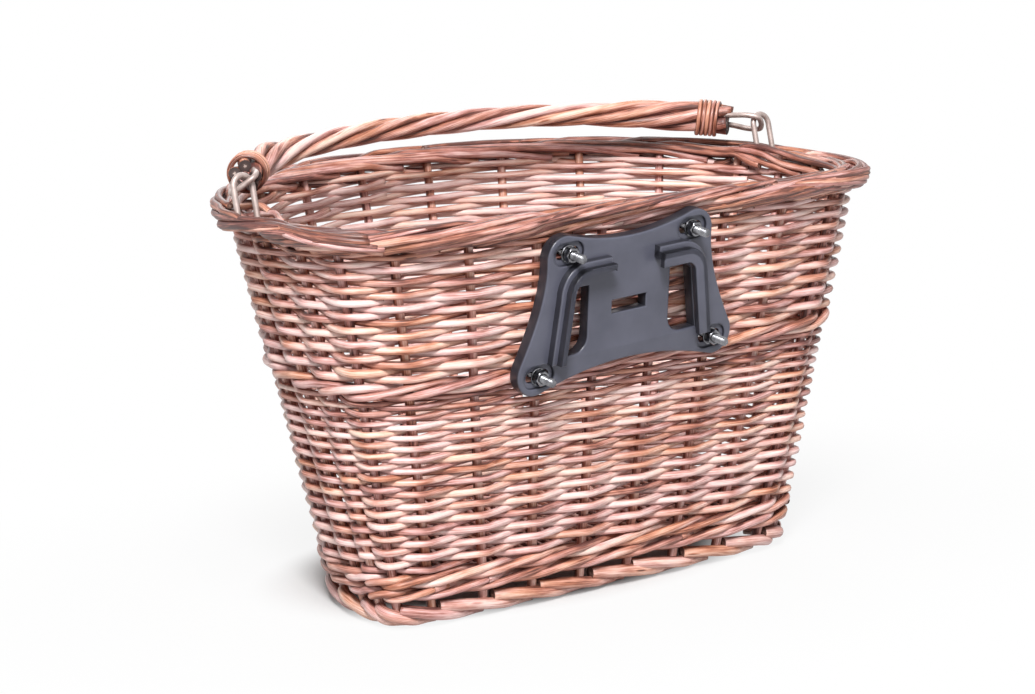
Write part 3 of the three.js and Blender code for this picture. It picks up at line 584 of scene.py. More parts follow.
def wale_round(rods, z, rise, radius, shift):
    for k in range(WALE_RODS):
        first = rng.randrange(STAKES)
        u = np.arange(first, first + STAKES + 0.4, 1 / 10)
        turn = 2 * math.pi * (u + k + shift) / WALE_RODS + math.pi / WALE_RODS
        swing = smoothed(np.clip(WALE_STEEPNESS * np.cos(turn) + WALE_LEAN_OUT, -1, 1))
        offset = (STAKE_RADIUS + radius) * swing
        thick = radius * lerp(*WALE_TAPER, (u - u[0]) / STAKES) * (1 + wander(u * 2, 0.03))
        height = z + rise * np.sin(turn) + wander(u, 0.3)
        rods.add(*wall(u, height, offset), thick, np.clip(WALE_TONE + rng.gauss(0, 0.14), 0.15, 0.9))


def build_wale(name, node, rounds):
    rods = Rods(10)
    for sizes in rounds:
        wale_round(rods, *sizes)
    rods.build(name, [wale_willow, willow_end], "basket", "willow_wale", node)


build_wale("bottom_waling", "bottom_wale", [(19.6, 2.1, 2.25, 0), (27.2, 2.1, 2.25, 1)])
build_wale("mid_waling", "mid_wale", [(137.5, 2.7, 2.35, 2)])


# Rolled rim border, and the room it leaves for the links
BORDER_MID = 222.6
BORDER_HALF_WIDTH = 10
BORDER_HALF_HEIGHT = 7.4
LINK_Z = 224
LINK_BULGE = 3
LINK_BULGE_Z = (219, 223)
LINK_CLEARANCE = 0.6
LINK_FADE = (9, 34)
OUTER_OFFSET = 6
SIDE_SLOPE = (RIM_HALF_WIDTH - BASE_HALF_WIDTH) / RIM_Z

# Where the plate covers the border, fading at its left, right and top
COVER_LEFT, COVER_RIGHT, COVER_TOP = (-84, -70), (46, 60), (222.5, 226)
COVER_BACK_Y = -60
COVER_OFFSET = 7.2

# Degrees round the border's section that its rods climb, from the outside over the top
THICK_CLIMB = (-72, 104)
THIN_CLIMB = (-84, 84)
INNER_START, INNER_START_AT_LINKS, INNER_END = 196, 252, 118
STARTS_AT_LINKS = (4, 5, 14, 15)

# A rod's root beside its stake, and how deep its end may be tucked
ROOT_LENGTH = 0.7
ROOT_DROP = 3.0
END_TUCKS = (0, 2.4, 2.4, 2.8)

# Tones, and the rod ends at the two corners
THICK_TONE, THIN_TONE, INNER_TONE, CORE_TONE, TIP_TONE = 0.25, 0.33, 0.4, 0.34, 0.27
CORNERS = (3.45, 19.55)
TIPS = 5


def past_links(u, z, offset, thick):
    """Leads a border rod past the rim links: outside, between or inside their legs."""
    near = link_nearness(u, *LINK_FADE)
    clear = WIRE_RADIUS + LINK_CLEARANCE + thick
    closest = offset[np.argmax(near)]
    level = z
    if closest <= 0:
        level = z + LINK_BULGE * smoothstep(*LINK_BULGE_Z, z)
    elif closest < OUTER_OFFSET:
        level = np.maximum(z, LINK_Z - LINK_RADIUS + clear + LINK_CLEARANCE)
    middle = LINK_OFFSET + (LINK_Z - level) * SIDE_SLOPE
    if closest >= OUTER_OFFSET:
        aside = np.maximum(offset, middle + LINK_RADIUS + clear)
    elif closest > 0:
        slack = np.maximum(LINK_RADIUS - clear, 0)
        aside = np.clip(offset, middle - slack, middle + slack)
    else:
        aside = np.minimum(offset, middle - LINK_RADIUS - clear)
    return lerp(z, level, near), lerp(offset, aside, near)


def behind_plate(u, z, offset, thick):
    """Keeps a border rod behind the plate's upper edge."""
    x, y = wall(u, z, offset)[0][:, :2].T
    share = smoothstep(*COVER_LEFT, x) * (1 - smoothstep(*COVER_RIGHT, x))
    share = np.where(y < COVER_BACK_Y, share, 0) * (1 - smoothstep(*COVER_TOP, z))
    return lerp(offset, np.minimum(offset, COVER_OFFSET - thick), share)


def lay_rod(rods, u, z, offset, thick, tint):
    """Adds a border rod, led past the links and behind the plate."""
    z, offset = past_links(u, z, offset, thick)
    offset = behind_plate(u, z, offset, thick)
    rods.add(*wall(u, z, offset), thick, tint)


def border_rod(rods, start, angles, length, radius, tone, sink=0.0):
    """A rod that climbs round the border's section."""
    p = np.arange(0, length + 1e-6, 0.1)
    share = p / length
    thick = radius * lerp(1.08, 0.8, share) * (1 + wander(p * 3, 0.04))
    angle = np.radians(lerp(*angles, share) + wander(p, 7))
    tuck = sink + rng.choice(END_TUCKS) * smoothstep(0.9, 1, share)
    offset = BORDER_OVERHANG + (BORDER_HALF_WIDTH - radius - tuck) * np.cos(angle)
    z = BORDER_MID + (BORDER_HALF_HEIGHT - radius - tuck) * np.sin(angle)
    rooted = 1 - smoothstep(0, ROOT_LENGTH, p)
    offset = lerp(offset, 0.15 * offset, rooted)
    tint = np.clip(tone + rng.gauss(0, 0.22) + wander(p, 0.1), 0.06, 0.75)
    lay_rod(rods, start + p, z - ROOT_DROP * rooted, offset, thick, tint)


def corner_tip(rods, corner, k):
    """A cut rod end that comes down over a corner."""
    p = np.arange(0, 1.9 + rng.uniform(0, 0.5), 0.08)
    share = p / p[-1]
    thick = rng.uniform(1.5, 2.1) * lerp(1.05, 0.85, share)
    angle = np.radians(lerp(62 - 9 * k, 34 - 21 * k, share) + wander(p, 5))
    reach = 1.2 * smoothstep(0.4, 1, share) - 1.6 * (1 - smoothstep(0, 0.4, share))
    offset = BORDER_OVERHANG + (BORDER_HALF_WIDTH - 2 + reach) * np.cos(angle)
    z = BORDER_MID + (BORDER_HALF_HEIGHT - 1.5 + reach) * np.sin(angle)
    u = corner + rng.uniform(-0.12, 0.2) - p[-1] + p
    lay_rod(rods, u, z, offset, thick, np.clip(TIP_TONE + rng.gauss(0, 0.14), 0.08, 0.6))


def core_rod(rods, start):
    """A rod inside the border, that the others are rolled round."""
    p = np.arange(0, 3.4, 0.1)
    thick = rng.uniform(2.1, 2.5) * lerp(1.05, 0.85, p / p[-1])
    offset = BORDER_OVERHANG + rng.uniform(-2.2, 1.8) + wander(p, 0.8)
    z = BORDER_MID + rng.uniform(-2.2, 2.0) + wander(p, 0.6)
    lay_rod(rods, start + p, z, offset, thick, CORE_TONE + rng.gauss(0, 0.08))


def build_border():
    rods = Rods(10)
    for i in range(STAKES):
        core_rod(rods, i + rng.uniform(-0.2, 0.2))
        start = i + rng.uniform(-0.1, 0.1)
        climb = (THICK_CLIMB[0] + rng.uniform(-12, 8), THICK_CLIMB[1] + rng.uniform(-16, 10))
        border_rod(rods, start, climb, 3.7 + rng.uniform(-0.5, 0.7), rng.uniform(2.0, 2.45), THICK_TONE)
        climb = (THIN_CLIMB[0], THIN_CLIMB[1] + rng.uniform(-12, 8))
        border_rod(rods, start + 0.5, climb, 3.2, rng.uniform(1.4, 1.75), THIN_TONE, 0.5)
        climb = (INNER_START_AT_LINKS if i in STARTS_AT_LINKS else INNER_START, INNER_END)
        length = 3.6 + rng.uniform(-0.3, 0.3)
        border_rod(rods, start + 0.3, climb, length, rng.uniform(2.0, 2.4), INNER_TONE)
    for corner in CORNERS:
        for k in range(TIPS):
            corner_tip(rods, corner, k)
    rods.build("rolled_rim_border", [border_willow, willow_end], "basket", "willow_border", "rim_border")


build_border()


# Foot border: thick rods that run from beside a stake down to the floor
FOOT_RADIUS = 3.5
FOOT_LENGTH = 1.95
FOOT_OFFSETS = ([0, 0.1, 0.3, 0.6, 1], [1.2, 3.2, 4.2, 2.8, -2.6])
FOOT_HEIGHTS = ([0, 0.25, 0.6, 1], [10.6, 9.0, 5.2, 2.0])
FLOOR_CLEARANCE = 0.1
FOOT_TONE = 0.7


def build_foot():
    rods = Rods(12)
    for i in range(STAKES):
        start = i + rng.uniform(0.05, 0.2)
        length = FOOT_LENGTH + rng.uniform(-0.12, 0.15)
        p = np.linspace(0, length, 24)
        share = p / length
        radius = FOOT_RADIUS * rng.uniform(0.93, 1.07) * (1 - 0.5 * smoothstep(0.62, 1, share))
        offset = smoothed(np.interp(share, *FOOT_OFFSETS))
        z = np.maximum(smoothed(np.interp(share, *FOOT_HEIGHTS)), radius + FLOOR_CLEARANCE)
        thick = radius * (1 + wander(p * 4, 0.02))
        tint = np.clip(FOOT_TONE + rng.gauss(0, 0.1), 0.4, 0.95)
        rods.add(*wall(start + p, z, offset), thick, tint)
    rods.build("rolled_foot_border", [foot_willow, willow_end], "basket", "willow_foot", "foot_border")


build_foot()


# Base: four long sticks with thin rods woven across them
BASE_STICKS = 4
BASE_STICK_RADIUS = 2.5
BASE_STICK_GAP = 3
BASE_MID_Z = 21.5
BASE_INSET = 6.5
BASE_WIDTH = 272
BASE_ROD_PITCH = 3.3
BASE_ROD_RADIUS = 1.62
BASE_ROD_STEP = 3.2
BASE_TONE = 0.52
UP = [0, 0, 1.0]


def crossing(edge, axis, value):
    """Lowest and highest crossing of an edge with a line of constant x or y."""
    other = 1 - axis
    found = []
    for a, b in zip(edge[:-1], edge[1:]):
        if (a[axis] - value) * (b[axis] - value) <= 0 and a[axis] != b[axis]:
            share = (value - a[axis]) / (b[axis] - a[axis])
            found.append(lerp(a[other], b[other], share))
    return min(found), max(found)


def build_base():
    edge = wall(np.linspace(0, STAKES, 721), BASE_MID_Z, -BASE_INSET)[0][:, :2]
    names = [f"base_stick_{i + 1}" for i in range(BASE_STICKS)]
    stick_ys = [np.mean([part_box(name)[k][1] for k in (0, 1)]) / MM for name in names]
    rods = Rods(10)
    for y in stick_ys:
        low, high = crossing(edge, 1, y)
        x = np.linspace(low + BASE_STICK_GAP, high - BASE_STICK_GAP, 40)
        points = np.stack([x, np.full(40, y), BASE_MID_Z + wander(x / 60, 0.2)], -1)
        rods.add(points, np.tile(UP, (40, 1)), BASE_STICK_RADIUS, rng.uniform(0.4, 0.6))
    rods.build("base_sticks", [stake_willow, willow_end], "basket", "willow_stake", *names)
    rods = Rods(8)
    count = int(BASE_WIDTH / BASE_ROD_PITCH)
    stick_pitch = stick_ys[1] - stick_ys[0]
    for i in range(count):
        x = (i - (count - 1) / 2) * BASE_ROD_PITCH
        y = np.arange(*crossing(edge, 0, x), BASE_ROD_STEP)
        if len(y) < 4:
            continue
        radius = BASE_ROD_RADIUS * rng.uniform(0.92, 1.06)
        swing = np.cos(math.pi * ((y - stick_ys[0]) / stick_pitch + i % 2))
        z = BASE_MID_Z + (BASE_STICK_RADIUS + radius - 0.3) * np.tanh(1.5 * swing) / math.tanh(1.5)
        points = np.stack([x + wander(y / 50, 0.3), y, z], -1)
        tint = np.clip(BASE_TONE + rng.gauss(0, 0.14), 0.15, 0.9)
        rods.add(points, np.tile(UP, (len(y), 1)), radius, tint)
    rods.build("woven_base", [weave_willow, willow_end], "basket", "willow_weave", "base_weave")


build_base()


# Wire links and handle eyes
LINK_LEAN = math.radians(15)
LINK_HIGH = 18.05
left_link = [value / MM for value in joints["left_link_rock"]["pos_m"]]
pivot = [value / MM for value in joints["handle_swing"]["pos_m"]]
LINK_X = -left_link[0]
SIDES = (("left", -1), ("right", 1))
PLAIN_TINT = 0.5


def build_link(name, side):
    """A closed loop of wire with two straight legs, leaning to the front."""
    half = np.linspace(0, math.pi, 25)
    c, s, leg = LINK_RADIUS * np.cos(half), LINK_RADIUS * np.sin(half), np.full(8, LINK_RADIUS)
    down, rise = np.linspace(LINK_HIGH, 0, 10)[1:-1], np.linspace(0, LINK_HIGH, 10)[1:-1]
    x, up = np.concatenate([c, -leg, -c, leg]), np.concatenate([LINK_HIGH + s, down, -s, rise])
    lean_y, lean_z = math.sin(LINK_LEAN), math.cos(LINK_LEAN)
    points = np.stack([side * LINK_X + x, left_link[1] + up * lean_y, left_link[2] + up * lean_z], -1)
    normal = np.tile([0, lean_z, -lean_y], (len(points), 1))
    rods = Rods(14)
    rods.add(points, normal, WIRE_RADIUS, PLAIN_TINT, closed=True)
    rods.build(f"wire_link_{name}", [wire_finish], f"{name}_link", "wire", f"rim_link_{name}")


for name, side in SIDES:
    build_link(name, side)

HANDLE_TILT = math.radians(5.5)
HANDLE_END_ANGLE = math.radians(52)
HANDLE_RISE = 80.8
EYE_REACH = 18.5
EYE_HALF_WIDTH = 8.5
EYE_LEG_HALF_WIDTH = 6.4
EYE_DEPTH = 18
EYE_TWIST = math.radians(40)
END_COS, END_SIN = math.cos(HANDLE_END_ANGLE), math.sin(HANDLE_END_ANGLE)


def from_handle(points, origin):
    """From the handle's own frame, with X between the links and Y up the arch."""
    c, s = math.cos(HANDLE_TILT), math.sin(HANDLE_TILT)
    x, y, z = np.moveaxis(np.asarray(points, float), -1, 0)
    return np.stack([x, origin[1] + c * y - s * z, origin[2] + s * y + c * z], -1)


def on_handle(points, normal):
    return from_handle(points, pivot), from_handle(normal, (0, 0, 0))


def blend(t, low, high, a, b):
    """Between a at low and b at high."""
    return (high - t) / (high - low) * a + (t - low) / (high - low) * b


def catmull_rom(points, steps):
    """A smooth curve through points, evenly stepped between each pair."""
    points = np.asarray(points, float)
    ends = np.concatenate([[2 * points[0] - points[1]], points, [2 * points[-1] - points[-2]]])
    out = []
    for four in zip(ends, ends[1:], ends[2:], ends[3:]):
        gaps = [max(np.linalg.norm(b - a) ** 0.5, 1e-6) for a, b in zip(four, four[1:])]
        k = np.cumsum([0] + gaps)
        for t in np.linspace(k[1], k[2], steps, endpoint=False):
            a1, a2, a3 = (blend(t, k[i], k[i + 1], four[i], four[i + 1]) for i in range(3))
            b1, b2 = blend(t, k[0], k[2], a1, a2), blend(t, k[1], k[3], a2, a3)
            out.append(blend(t, k[1], k[2], b1, b2))
    return np.array(out + [points[-1]])


def build_eye(name, side):
    back = np.array([-side * END_COS, END_SIN, 0])
    flat = math.cos(EYE_TWIST)
    across = np.array([side * END_SIN * flat, END_COS * flat, -math.sin(EYE_TWIST)])
    half = [
        (EYE_REACH + EYE_DEPTH, EYE_LEG_HALF_WIDTH),
        (EYE_REACH, EYE_LEG_HALF_WIDTH),
        (EYE_REACH * 0.45, EYE_HALF_WIDTH),
        (EYE_REACH * 0.075, EYE_HALF_WIDTH * 0.86),
        (0, EYE_HALF_WIDTH * 0.45),
    ]
    pairs = half + [(depth, -width) for depth, width in half[::-1]]
    start = np.array([side * LINK_X, 0, 0])
    path = catmull_rom([start + back * depth + across * width for depth, width in pairs], 8)
    normal = np.tile(np.cross(back, across), (len(path), 1))
    rods = Rods(14)
    rods.add(*on_handle(path, normal), WIRE_RADIUS, PLAIN_TINT)
    rods.build(f"wire_eye_{name}", [wire_finish, wire_finish], "handle", "wire", f"handle_eye_{name}")


for name, side in SIDES:
    build_eye(name, side)


# Handle: five rods laid round a thin sixth, thicker at the ends
HANDLE_RADIUS = 7
HANDLE_END_RADIUS = 9.5
HANDLE_END_LENGTH = 34
HANDLE_TAPER_LENGTH = 60
HANDLE_LAY = 185
HANDLE_RODS = 5
ROD_SHARE, CORE_SHARE = 0.375, 0.3
CORE_INSET = 1.5
END_STAIN = 0.4


class Arch:
    """The middle line of the handle, with frames, by distance from its left end."""

    def __init__(self):
        reach = (HANDLE_RISE - EYE_REACH * END_SIN) / (0.75 * END_SIN)
        left, right = (np.array([side * LINK_X, 0, 0]) for side in (-1, 1))
        into_left, into_right = (np.array([-side * END_COS, END_SIN, 0]) for side in (-1, 1))
        knots = [
            left + EYE_REACH * into_left,
            left + (EYE_REACH + reach) * into_left,
            right + (EYE_REACH + reach) * into_right,
            right + EYE_REACH * into_right,
        ]
        t = np.linspace(0, 1, 801)[:, None]
        shares = ((1 - t) ** 3, 3 * t * (1 - t) ** 2, 3 * t**2 * (1 - t), t**3)
        self.points = sum(share * knot for share, knot in zip(shares, knots))
        self.distance = distances(self.points)
        self.length = self.distance[-1]

    def point(self, distance):
        return np.stack([np.interp(distance, self.distance, self.points[:, k]) for k in range(3)], -1)

    def at(self, distance):
        inside = np.clip(distance, 0, self.length)
        along = unit(self.point(inside + 1) - self.point(inside - 1))
        middle = self.point(inside) + along * (distance - inside)[:, None]
        across = np.stack([-along[:, 1], along[:, 0], np.zeros(len(along))], -1)
        return middle, across, np.cross(along, across)

    def around(self, distance, radius, angle):
        middle, across, aside = self.at(distance)
        out = across * np.cos(angle)[:, None] + aside * np.sin(angle)[:, None]
        return middle + out * np.asarray(radius)[:, None], out


arch = Arch()


def bundle_radius(distance):
    from_end = np.minimum(distance, arch.length - distance)
    taper = smoothstep(HANDLE_END_LENGTH, HANDLE_END_LENGTH + HANDLE_TAPER_LENGTH, from_end)
    return lerp(HANDLE_END_RADIUS, HANDLE_RADIUS, taper)


def build_handle():
    rods = Rods(14)
    core = np.linspace(CORE_INSET, arch.length - CORE_INSET, 120)
    points, out = arch.around(core, np.zeros(120), np.zeros(120))
    rods.add(*on_handle(points, out), bundle_radius(core) * CORE_SHARE, PLAIN_TINT)
    for k in range(HANDLE_RODS):
        s = np.linspace(rng.uniform(-1, 3), arch.length - rng.uniform(-1, 3), 160)
        whole = bundle_radius(s)
        radius = whole * (ROD_SHARE + wander(s / 60, 0.018))
        angle = -2 * math.pi * s / HANDLE_LAY + 2 * math.pi * k / HANDLE_RODS + 0.35
        points, out = arch.around(s, whole - radius + wander(s / 40, 0.25), angle)
        stain = END_STAIN * (1 - smoothstep(3, 12, np.minimum(s, arch.length - s)))
        tint = rng.uniform(0.5, 0.94) + wander(s / 30, 0.1) - stain
        rods.add(*on_handle(points, out), radius, tint)
    rods.build("twisted_handle", [handle_willow, handle_end_finish], "handle", "willow_handle", "handle_rods")


build_handle()

# Cane bindings
BINDING_TURNS = 5
BINDING_PITCH = 2.75
BINDING_INSET = 7.5
BINDING_LIFT = 0.75
CANE_RADIUS = 1.3
CANE_FLATNESS = 0.72
CANE_TINT = 0.42
TUCK_STEPS, TUCK_DEPTH = 12, 1.6


def build_binding(name, side):
    steps = BINDING_TURNS * 40
    angle = np.linspace(0, 2 * math.pi * BINDING_TURNS, steps + 1)
    from_end = BINDING_INSET + BINDING_PITCH * angle / (2 * math.pi)
    radius = bundle_radius(from_end) + BINDING_LIFT + wander(angle / 4, 0.08)
    s = from_end if side < 0 else arch.length - from_end
    points, out = arch.around(s, radius, angle)
    step = np.arange(steps + 1)
    tuck = smoothstep(0, 1, np.minimum(step, steps - step) / TUCK_STEPS)
    points = points - out * (TUCK_DEPTH * (1 - tuck))[:, None]
    rods = Rods(12)
    rods.add(*on_handle(points, out), CANE_RADIUS, CANE_TINT, flat=CANE_FLATNESS)
    rods.build(f"cane_binding_{name}", [cane_finish, willow_end], "handle", "cane", f"handle_binding_{name}")


for name, side in SIDES:
    build_binding(name, side)


# Quick-release plate
PLATE_OFFSET = -11.8
PLATE_Z = 176.3
PLATE_ROLL = math.radians(3.1)
WALL_HALF = 7.35 * math.cos(WALL_SLOPE) + 0.3
PLATE_DEPTH = 8
BOLTS = {
    "top_left": (-44.5, 33.5),
    "top_right": (44.5, 33.5),
    "bottom_left": (-62.75, -33.5),
    "bottom_right": (62.75, -33.5),
}
back_y = outline(np.array([-math.pi / 2]), np.array([PLATE_Z]))[1][0]
turn = Matrix.Rotation(math.pi / 2 + WALL_SLOPE, 4, "X") @ Matrix.Rotation(PLATE_ROLL, 4, "Z")
place = Matrix.Translation((PLATE_OFFSET * MM, back_y * MM, PLATE_Z * MM))
PLATE = place @ turn @ Matrix.Translation((0, 0, WALL_HALF * MM)) @ Matrix.Scale(MM, 4)


def arc(x, y, radius, start, end, steps=10):
    angles = np.radians(np.linspace(start, end, steps + 1))
    return [(x + radius * math.cos(a), y + radius * math.sin(a)) for a in angles]


def hollow_curve(start, middle, end, steps=24):
    start, middle, end = (np.array(point) for point in (start, middle, end))
    control = 2 * middle - (start + end) / 2
    shares = np.linspace(0, 1, steps + 1)[1:-1]
    return [tuple((1 - t) ** 2 * start + 2 * t * (1 - t) * control + t * t * end) for t in shares]


LOBE_RADIUS = 12.5
TOP_LOBE_X, LOW_LOBE_X, LOBE_Y = 47, 65.25, 31.7
WAIST_X, WAIST_Y = 63, 6
TOP_HOLLOW, LOW_HOLLOW = 7, 10


def plate_outline():
    """Four round lobes with hollow sides between them."""
    lobes = [
        arc(TOP_LOBE_X, LOBE_Y, LOBE_RADIUS, -5, 107),
        arc(-TOP_LOBE_X, LOBE_Y, LOBE_RADIUS, 73, 185),
        arc(-LOW_LOBE_X, -LOBE_Y, LOBE_RADIUS, 150, 285),
        arc(LOW_LOBE_X, -LOBE_Y, LOBE_RADIUS, -105, 30),
    ]
    top, low = LOBE_Y + LOBE_RADIUS - TOP_HOLLOW, -LOBE_Y - LOBE_RADIUS + LOW_HOLLOW
    middles = [(0, top), (-WAIST_X, WAIST_Y), (0, low), (WAIST_X, WAIST_Y)]
    points = []
    for lobe, middle, following in zip(lobes, middles, lobes[1:] + lobes[:1]):
        points += lobe + hollow_curve(lobe[-1], middle, following[0])
    return points


def slot_outline(x, y, length, width):
    half = (length - width) / 2
    return arc(x + half, y, width / 2, -90, 90) + arc(x - half, y, width / 2, 90, 270)


# Rails, the two windows beside them and the catch hole
RAIL_TOP, RAIL_START = 28.5, 17
RAIL_BEND_X, RAIL_BEND_RADIUS = 34.5, 18
RAIL_FOOT_X, RAIL_FOOT = 57.5, -27
WINDOW = [(29.5, 13)] + arc(38.5, -16, 9, 180, 270) + [(49.9, -25), (44.9, 10.5), (41.9, 13)]
CATCH_HOLE = [(-12.25, -6.25), (12.25, -6.25), (12.25, 1.25), (-12.25, 1.25)]


def rail_strip(near, far):
    """The strip of a rail between two distances from its outer edge."""
    bend_y = RAIL_TOP - RAIL_BEND_RADIUS
    return (
        [(RAIL_START, RAIL_TOP - near)]
        + arc(RAIL_BEND_X, bend_y, RAIL_BEND_RADIUS - near, 90, 0, 14)
        + [(RAIL_FOOT_X - near, RAIL_FOOT), (RAIL_FOOT_X - far, RAIL_FOOT)]
        + arc(RAIL_BEND_X, bend_y, RAIL_BEND_RADIUS - far, 0, 90, 14)
        + [(RAIL_START, RAIL_TOP - far)]
    )


def mirrored(points):
    return [(-x, y) for x, y in points][::-1]


BEVEL_STEPS = 3
WELD_GAP = 0.002


def evaluated(obj):
    bpy.context.view_layer.update()
    return bpy.data.meshes.new_from_object(obj.evaluated_get(bpy.context.evaluated_depsgraph_get()))


def moulding(name, loops, low, high, bevel):
    """A flat moulding with rounded edges, from an outline and its holes."""
    curve = bpy.data.curves.new(name, "CURVE")
    curve.dimensions, curve.fill_mode = "2D", "BOTH"
    curve.extrude = (high - low) / 2 - bevel
    curve.bevel_depth, curve.bevel_resolution, curve.offset = bevel, BEVEL_STEPS, -bevel
    for loop in loops:
        spline = curve.splines.new("POLY")
        spline.points.add(len(loop) - 1)
        for point, (x, y) in zip(spline.points, loop):
            point.co = (x, y, 0, 1)
        spline.use_cyclic_u = True
    obj = place_object(name, curve)
    mesh = evaluated(obj)
    mesh.transform(Matrix.Translation((0, 0, (low + high) / 2)))
    bpy.data.objects.remove(obj)
    made = place_object(name, mesh)
    made.modifiers.new("weld", "WELD").merge_threshold = WELD_GAP
    return made


def settle(obj):
    """Applies the modifiers."""
    mesh, old = evaluated(obj), obj.data
    obj.modifiers.clear()
    obj.data = mesh
    bpy.data.meshes.remove(old)


def join(base, others):
    """Makes one solid of a piece and others."""
    for other in others:
        settle(other)
        union = base.modifiers.new("union", "BOOLEAN")
        union.operation, union.solver, union.object = "UNION", "EXACT", other
    settle(base)
    for other in others:
        bpy.data.objects.remove(other)


# Lengths and widths of slots and recesses, and heights above the plate's back
SLOT, RECESS, RECESS_FLOOR = (16, 6.4), (21, 12.5), (24, 15.5)
RECESS_FLOOR_Z = (3.6, PLATE_DEPTH - 2)
PLATE_GAP = 0.2
RAIL_ROOT, LEDGE_TOP, LIP_LOW, LIP_TOP = 5, 12.6, 12.8, 17


def build_plate():
    holes = [WINDOW, mirrored(WINDOW), CATCH_HOLE]
    recesses = [slot_outline(x, y, *RECESS) for x, y in BOLTS.values()]
    plate = moulding("moulded_plate", [plate_outline()] + holes + recesses, PLATE_GAP, PLATE_DEPTH, 1.1)
    pieces = []
    for k, (x, y) in enumerate(BOLTS.values()):
        loops = [slot_outline(x, y, *RECESS_FLOOR), slot_outline(x, y, *SLOT)]
        pieces.append(moulding(f"recess_floor_{k}", loops, *RECESS_FLOOR_Z, 0.3))
    for k, flip in enumerate((list, mirrored)):
        pieces.append(moulding(f"ledge_{k}", [flip(rail_strip(0, 6))], RAIL_ROOT, LEDGE_TOP, 1.0))
        pieces.append(moulding(f"rail_{k}", [flip(rail_strip(3, 7))], RAIL_ROOT, LIP_TOP, 0.9))
        pieces.append(moulding(f"lip_{k}", [flip(rail_strip(3, 11.5))], LIP_LOW, LIP_TOP, 0.9))
    join(plate, pieces)
    plate.data.transform(PLATE)
    plate.data.materials.clear()
    plate.data.materials.append(plastic)
    plate.data.shade_smooth()
    plate.data.set_sharp_from_angle(angle=math.radians(32))
    keep(plate, "basket", "black_plastic", "mount_plate")


build_plate()


# Fasteners, M5, with heights above the plate's back
THREAD_RADIUS = 2.5
THREAD_PITCH = 0.8
THREAD_DEPTH = 0.42
BOLT_HEAD = [(2.0, -3.2), (3.4, -3.0), (4.5, -2.1), (4.75, -1.2), (4.75, 0), (THREAD_RADIUS, 0.02)]
BOLT_TOP = 20.6
PLAIN_SHANK = 12
NUT_LOW, NUT_HEIGHT = 7.6, 4
NUT_HALF_FLATS, NUT_BORE = 4, 2.56
NUT_CHAMFER = [(0, 3.9), (0.25, 4.2), (0.55, 4.7)]
WASHER_BORE, WASHER_EDGE = 2.8, 0.15
WASHER_LOW, WASHER_THICKNESS, WASHER_RADIUS = 6.3, 1, 5
BACKING_THICKNESS, BACKING_RADIUS = 1.5, 7
FASTENER_STEPS = 36


def lathe(rings, closed=False):
    """Verts and faces of rings of given radii and height, capped or closed."""
    m, last = FASTENER_STEPS, (len(rings) - 1) * FASTENER_STEPS
    verts, faces = [], ring_faces(len(rings), m, closed)
    for radii, height in rings:
        for j, r in enumerate(np.broadcast_to(radii, m)):
            a = 2 * math.pi * j / m
            verts.append((r * math.cos(a), r * math.sin(a), height))
    if not closed:
        faces += [list(range(m))[::-1], list(range(last, last + m))]
    return verts, faces


def threaded_bolt(low, high):
    """Round head inside, threaded shank, chamfered end."""
    rings = [(radius, low + height) for radius, height in BOLT_HEAD]
    angles = np.arange(FASTENER_STEPS) / FASTENER_STEPS
    start = low + PLAIN_SHANK
    rings.append((THREAD_RADIUS, start - 0.3))
    for z in np.arange(start, high - 0.5, THREAD_PITCH / 6):
        phase = (z / THREAD_PITCH - angles) % 1
        rings.append((THREAD_RADIUS - THREAD_DEPTH * np.abs(2 * phase - 1), z))
    return lathe(rings + [(2.05, high - 0.35), (1.7, high)])


def hexagon_nut(low, height):
    angles = 2 * math.pi * np.arange(FASTENER_STEPS) / FASTENER_STEPS
    flat = NUT_HALF_FLATS / np.cos((angles + math.pi / 6) % (math.pi / 3) - math.pi / 6)
    cones = NUT_CHAMFER + [(height - z, cone) for z, cone in NUT_CHAMFER[::-1]]
    profile = [(NUT_BORE, low)] + [(np.minimum(flat, cone), low + z) for z, cone in cones]
    return lathe(profile + [(NUT_BORE + 0.35, low + height), (NUT_BORE, low + height - 0.3)], True)


def washer(low, thickness, radius):
    high, inner = low + thickness, radius - WASHER_EDGE
    edge = [(inner, low), (radius, low + WASHER_EDGE), (radius, high - WASHER_EDGE), (inner, high)]
    return lathe([(WASHER_BORE, low)] + edge + [(WASHER_BORE, high)], True)


def build_fastener(name, x, y):
    backing = -2 * WALL_HALF - BACKING_THICKNESS
    parts = [
        threaded_bolt(backing - 0.3, BOLT_TOP),
        washer(backing, BACKING_THICKNESS, BACKING_RADIUS),
        washer(WASHER_LOW, WASHER_THICKNESS, WASHER_RADIUS),
        hexagon_nut(NUT_LOW, NUT_HEIGHT),
    ]
    verts, faces = [], []
    turn = Matrix.Rotation(rng.uniform(0, math.pi / 3), 4, "Z")
    for points, polygons in parts:
        first = len(verts)
        verts += [PLATE @ Matrix.Translation((x, y, 0)) @ turn @ Vector(point) for point in points]
        faces += [tuple(first + k for k in polygon) for polygon in polygons]
    mesh = bpy.data.meshes.new(f"fastener_{name}")
    mesh.from_pydata(verts, [], faces)
    mesh.materials.append(steel)
    mesh.shade_smooth()
    mesh.set_sharp_from_angle(angle=math.radians(30))
    nodes = [f"{kind}_{name}" for kind in ("bolt", "nut", "washer", "backing_washer")]
    keep(place_object(f"fastener_{name}", mesh), "basket", "bright_steel", *nodes)


for name, (x, y) in BOLTS.items():
    build_fastener(name, x, y)


# Stage: a floor that fades into a white background, soft studio light
FLOOR_HALF_SIZE = 6
FLOOR_GREY = 0.55
FOOT_OVAL = (1, 1.7, 1)
NEAR_FADE, NEAR_WHITE = (0.12, 0.18), 0.88
FAR_FADE, FAR_WHITE = (0.18, 0.5), 0.12
WORLD_LIGHT = 0.13


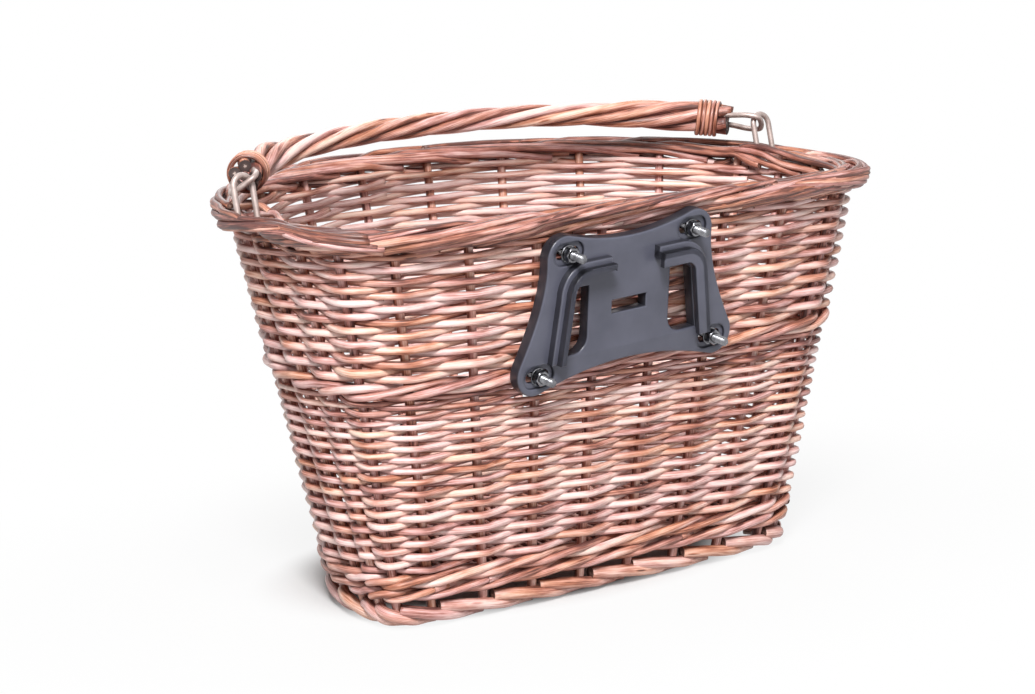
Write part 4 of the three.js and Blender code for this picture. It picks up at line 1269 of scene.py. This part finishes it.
def looked_at(tree):
    """One for what the camera sees, straight or in a reflection."""
    path = add_node(tree, "LightPath").outputs
    seen = maths("ADD", path["Is Camera Ray"], path["Is Glossy Ray"])
    return maths("ADD", seen, path["Is Transmission Ray"], clamp=True)


def build_floor():
    mesh = bpy.data.meshes.new("floor")
    corners = [(x * FLOOR_HALF_SIZE, y * FLOOR_HALF_SIZE, 0) for x, y in ((-1, -1), (1, -1), (1, 1), (-1, 1))]
    mesh.from_pydata(corners, [], [(0, 1, 2, 3)])
    material, tree, shader = new_material("floor_white")
    grey = (FLOOR_GREY, FLOOR_GREY, FLOOR_GREY, 1)
    fill(shader, {"Base Color": grey, "Roughness": 0.9, "Specular IOR Level": 0.1})
    place = add_node(tree, "NewGeometry").outputs["Position"]
    reach = vector_maths("LENGTH", vector_maths("MULTIPLY", place, FOOT_OVAL))
    near = map_range(reach, (0, NEAR_WHITE), NEAR_FADE, smooth=True)
    far = map_range(reach, (0, FAR_WHITE), FAR_FADE, smooth=True)
    white = maths("MULTIPLY", maths("ADD", near, far), looked_at(tree))
    glow = add_node(tree, "Emission", Color=(1, 1, 1, 1), Strength=1.0).outputs[0]
    mix = add_node(tree, "MixShader", i0=white, i1=shader.outputs[0], i2=glow)
    fill(tree.nodes["Material Output"], {"Surface": mix.outputs[0]})
    mesh.materials.append(material)
    place_object("floor", mesh)


build_floor()

world = bpy.data.worlds.new("studio")
bpy.context.scene.world = world
world.use_nodes = True
strength = map_range(looked_at(world.node_tree), (WORLD_LIGHT, 1))
fill(world.node_tree.nodes["Background"], {"Color": (1, 1, 1, 1), "Strength": strength})


def area_light(name, location, target, size, power):
    light = bpy.data.lights.new(name, "AREA")
    light.shape, light.size, light.energy = "DISK", size, power
    obj = place_object(name, light)
    obj.location = location
    obj.rotation_euler = (Vector(target) - Vector(location)).to_track_quat("-Z", "Y").to_euler()


area_light("key", (-1.35, -1.5, 2.1), (0, 0, 0.14), 0.7, 98)
area_light("top", (-0.8, -1.0, 2.5), (0, 0, 0.1), 1.0, 32)
area_light("front", (-0.9, -2.2, 1.0), (0, 0, 0.16), 1.2, 7)
area_light("far", (1.2, 2.0, 1.5), (0, 0, 0.14), 1.6, 22)

# Camera at the photograph's angle
CAMERA_TURN = math.radians(39.17)
CAMERA_RISE = math.radians(11.84)
CAMERA_DISTANCE = 1916.7
AIM = Vector((-13.3, 10.8 + SHIFT_Y, 132.0))
level = math.cos(CAMERA_RISE)
ahead = Vector((math.sin(CAMERA_TURN) * level, math.cos(CAMERA_TURN) * level, -math.sin(CAMERA_RISE)))
lens = bpy.data.cameras.new("camera")
lens.lens = 115.755
lens.sensor_width = 36
camera = place_object("camera", lens)
camera.location = (AIM - CAMERA_DISTANCE * ahead) * MM
camera.rotation_euler = ahead.to_track_quat("-Z", "Y").to_euler()
bpy.context.scene.camera = camera
bpy.context.scene.view_settings.view_transform = "Standard"
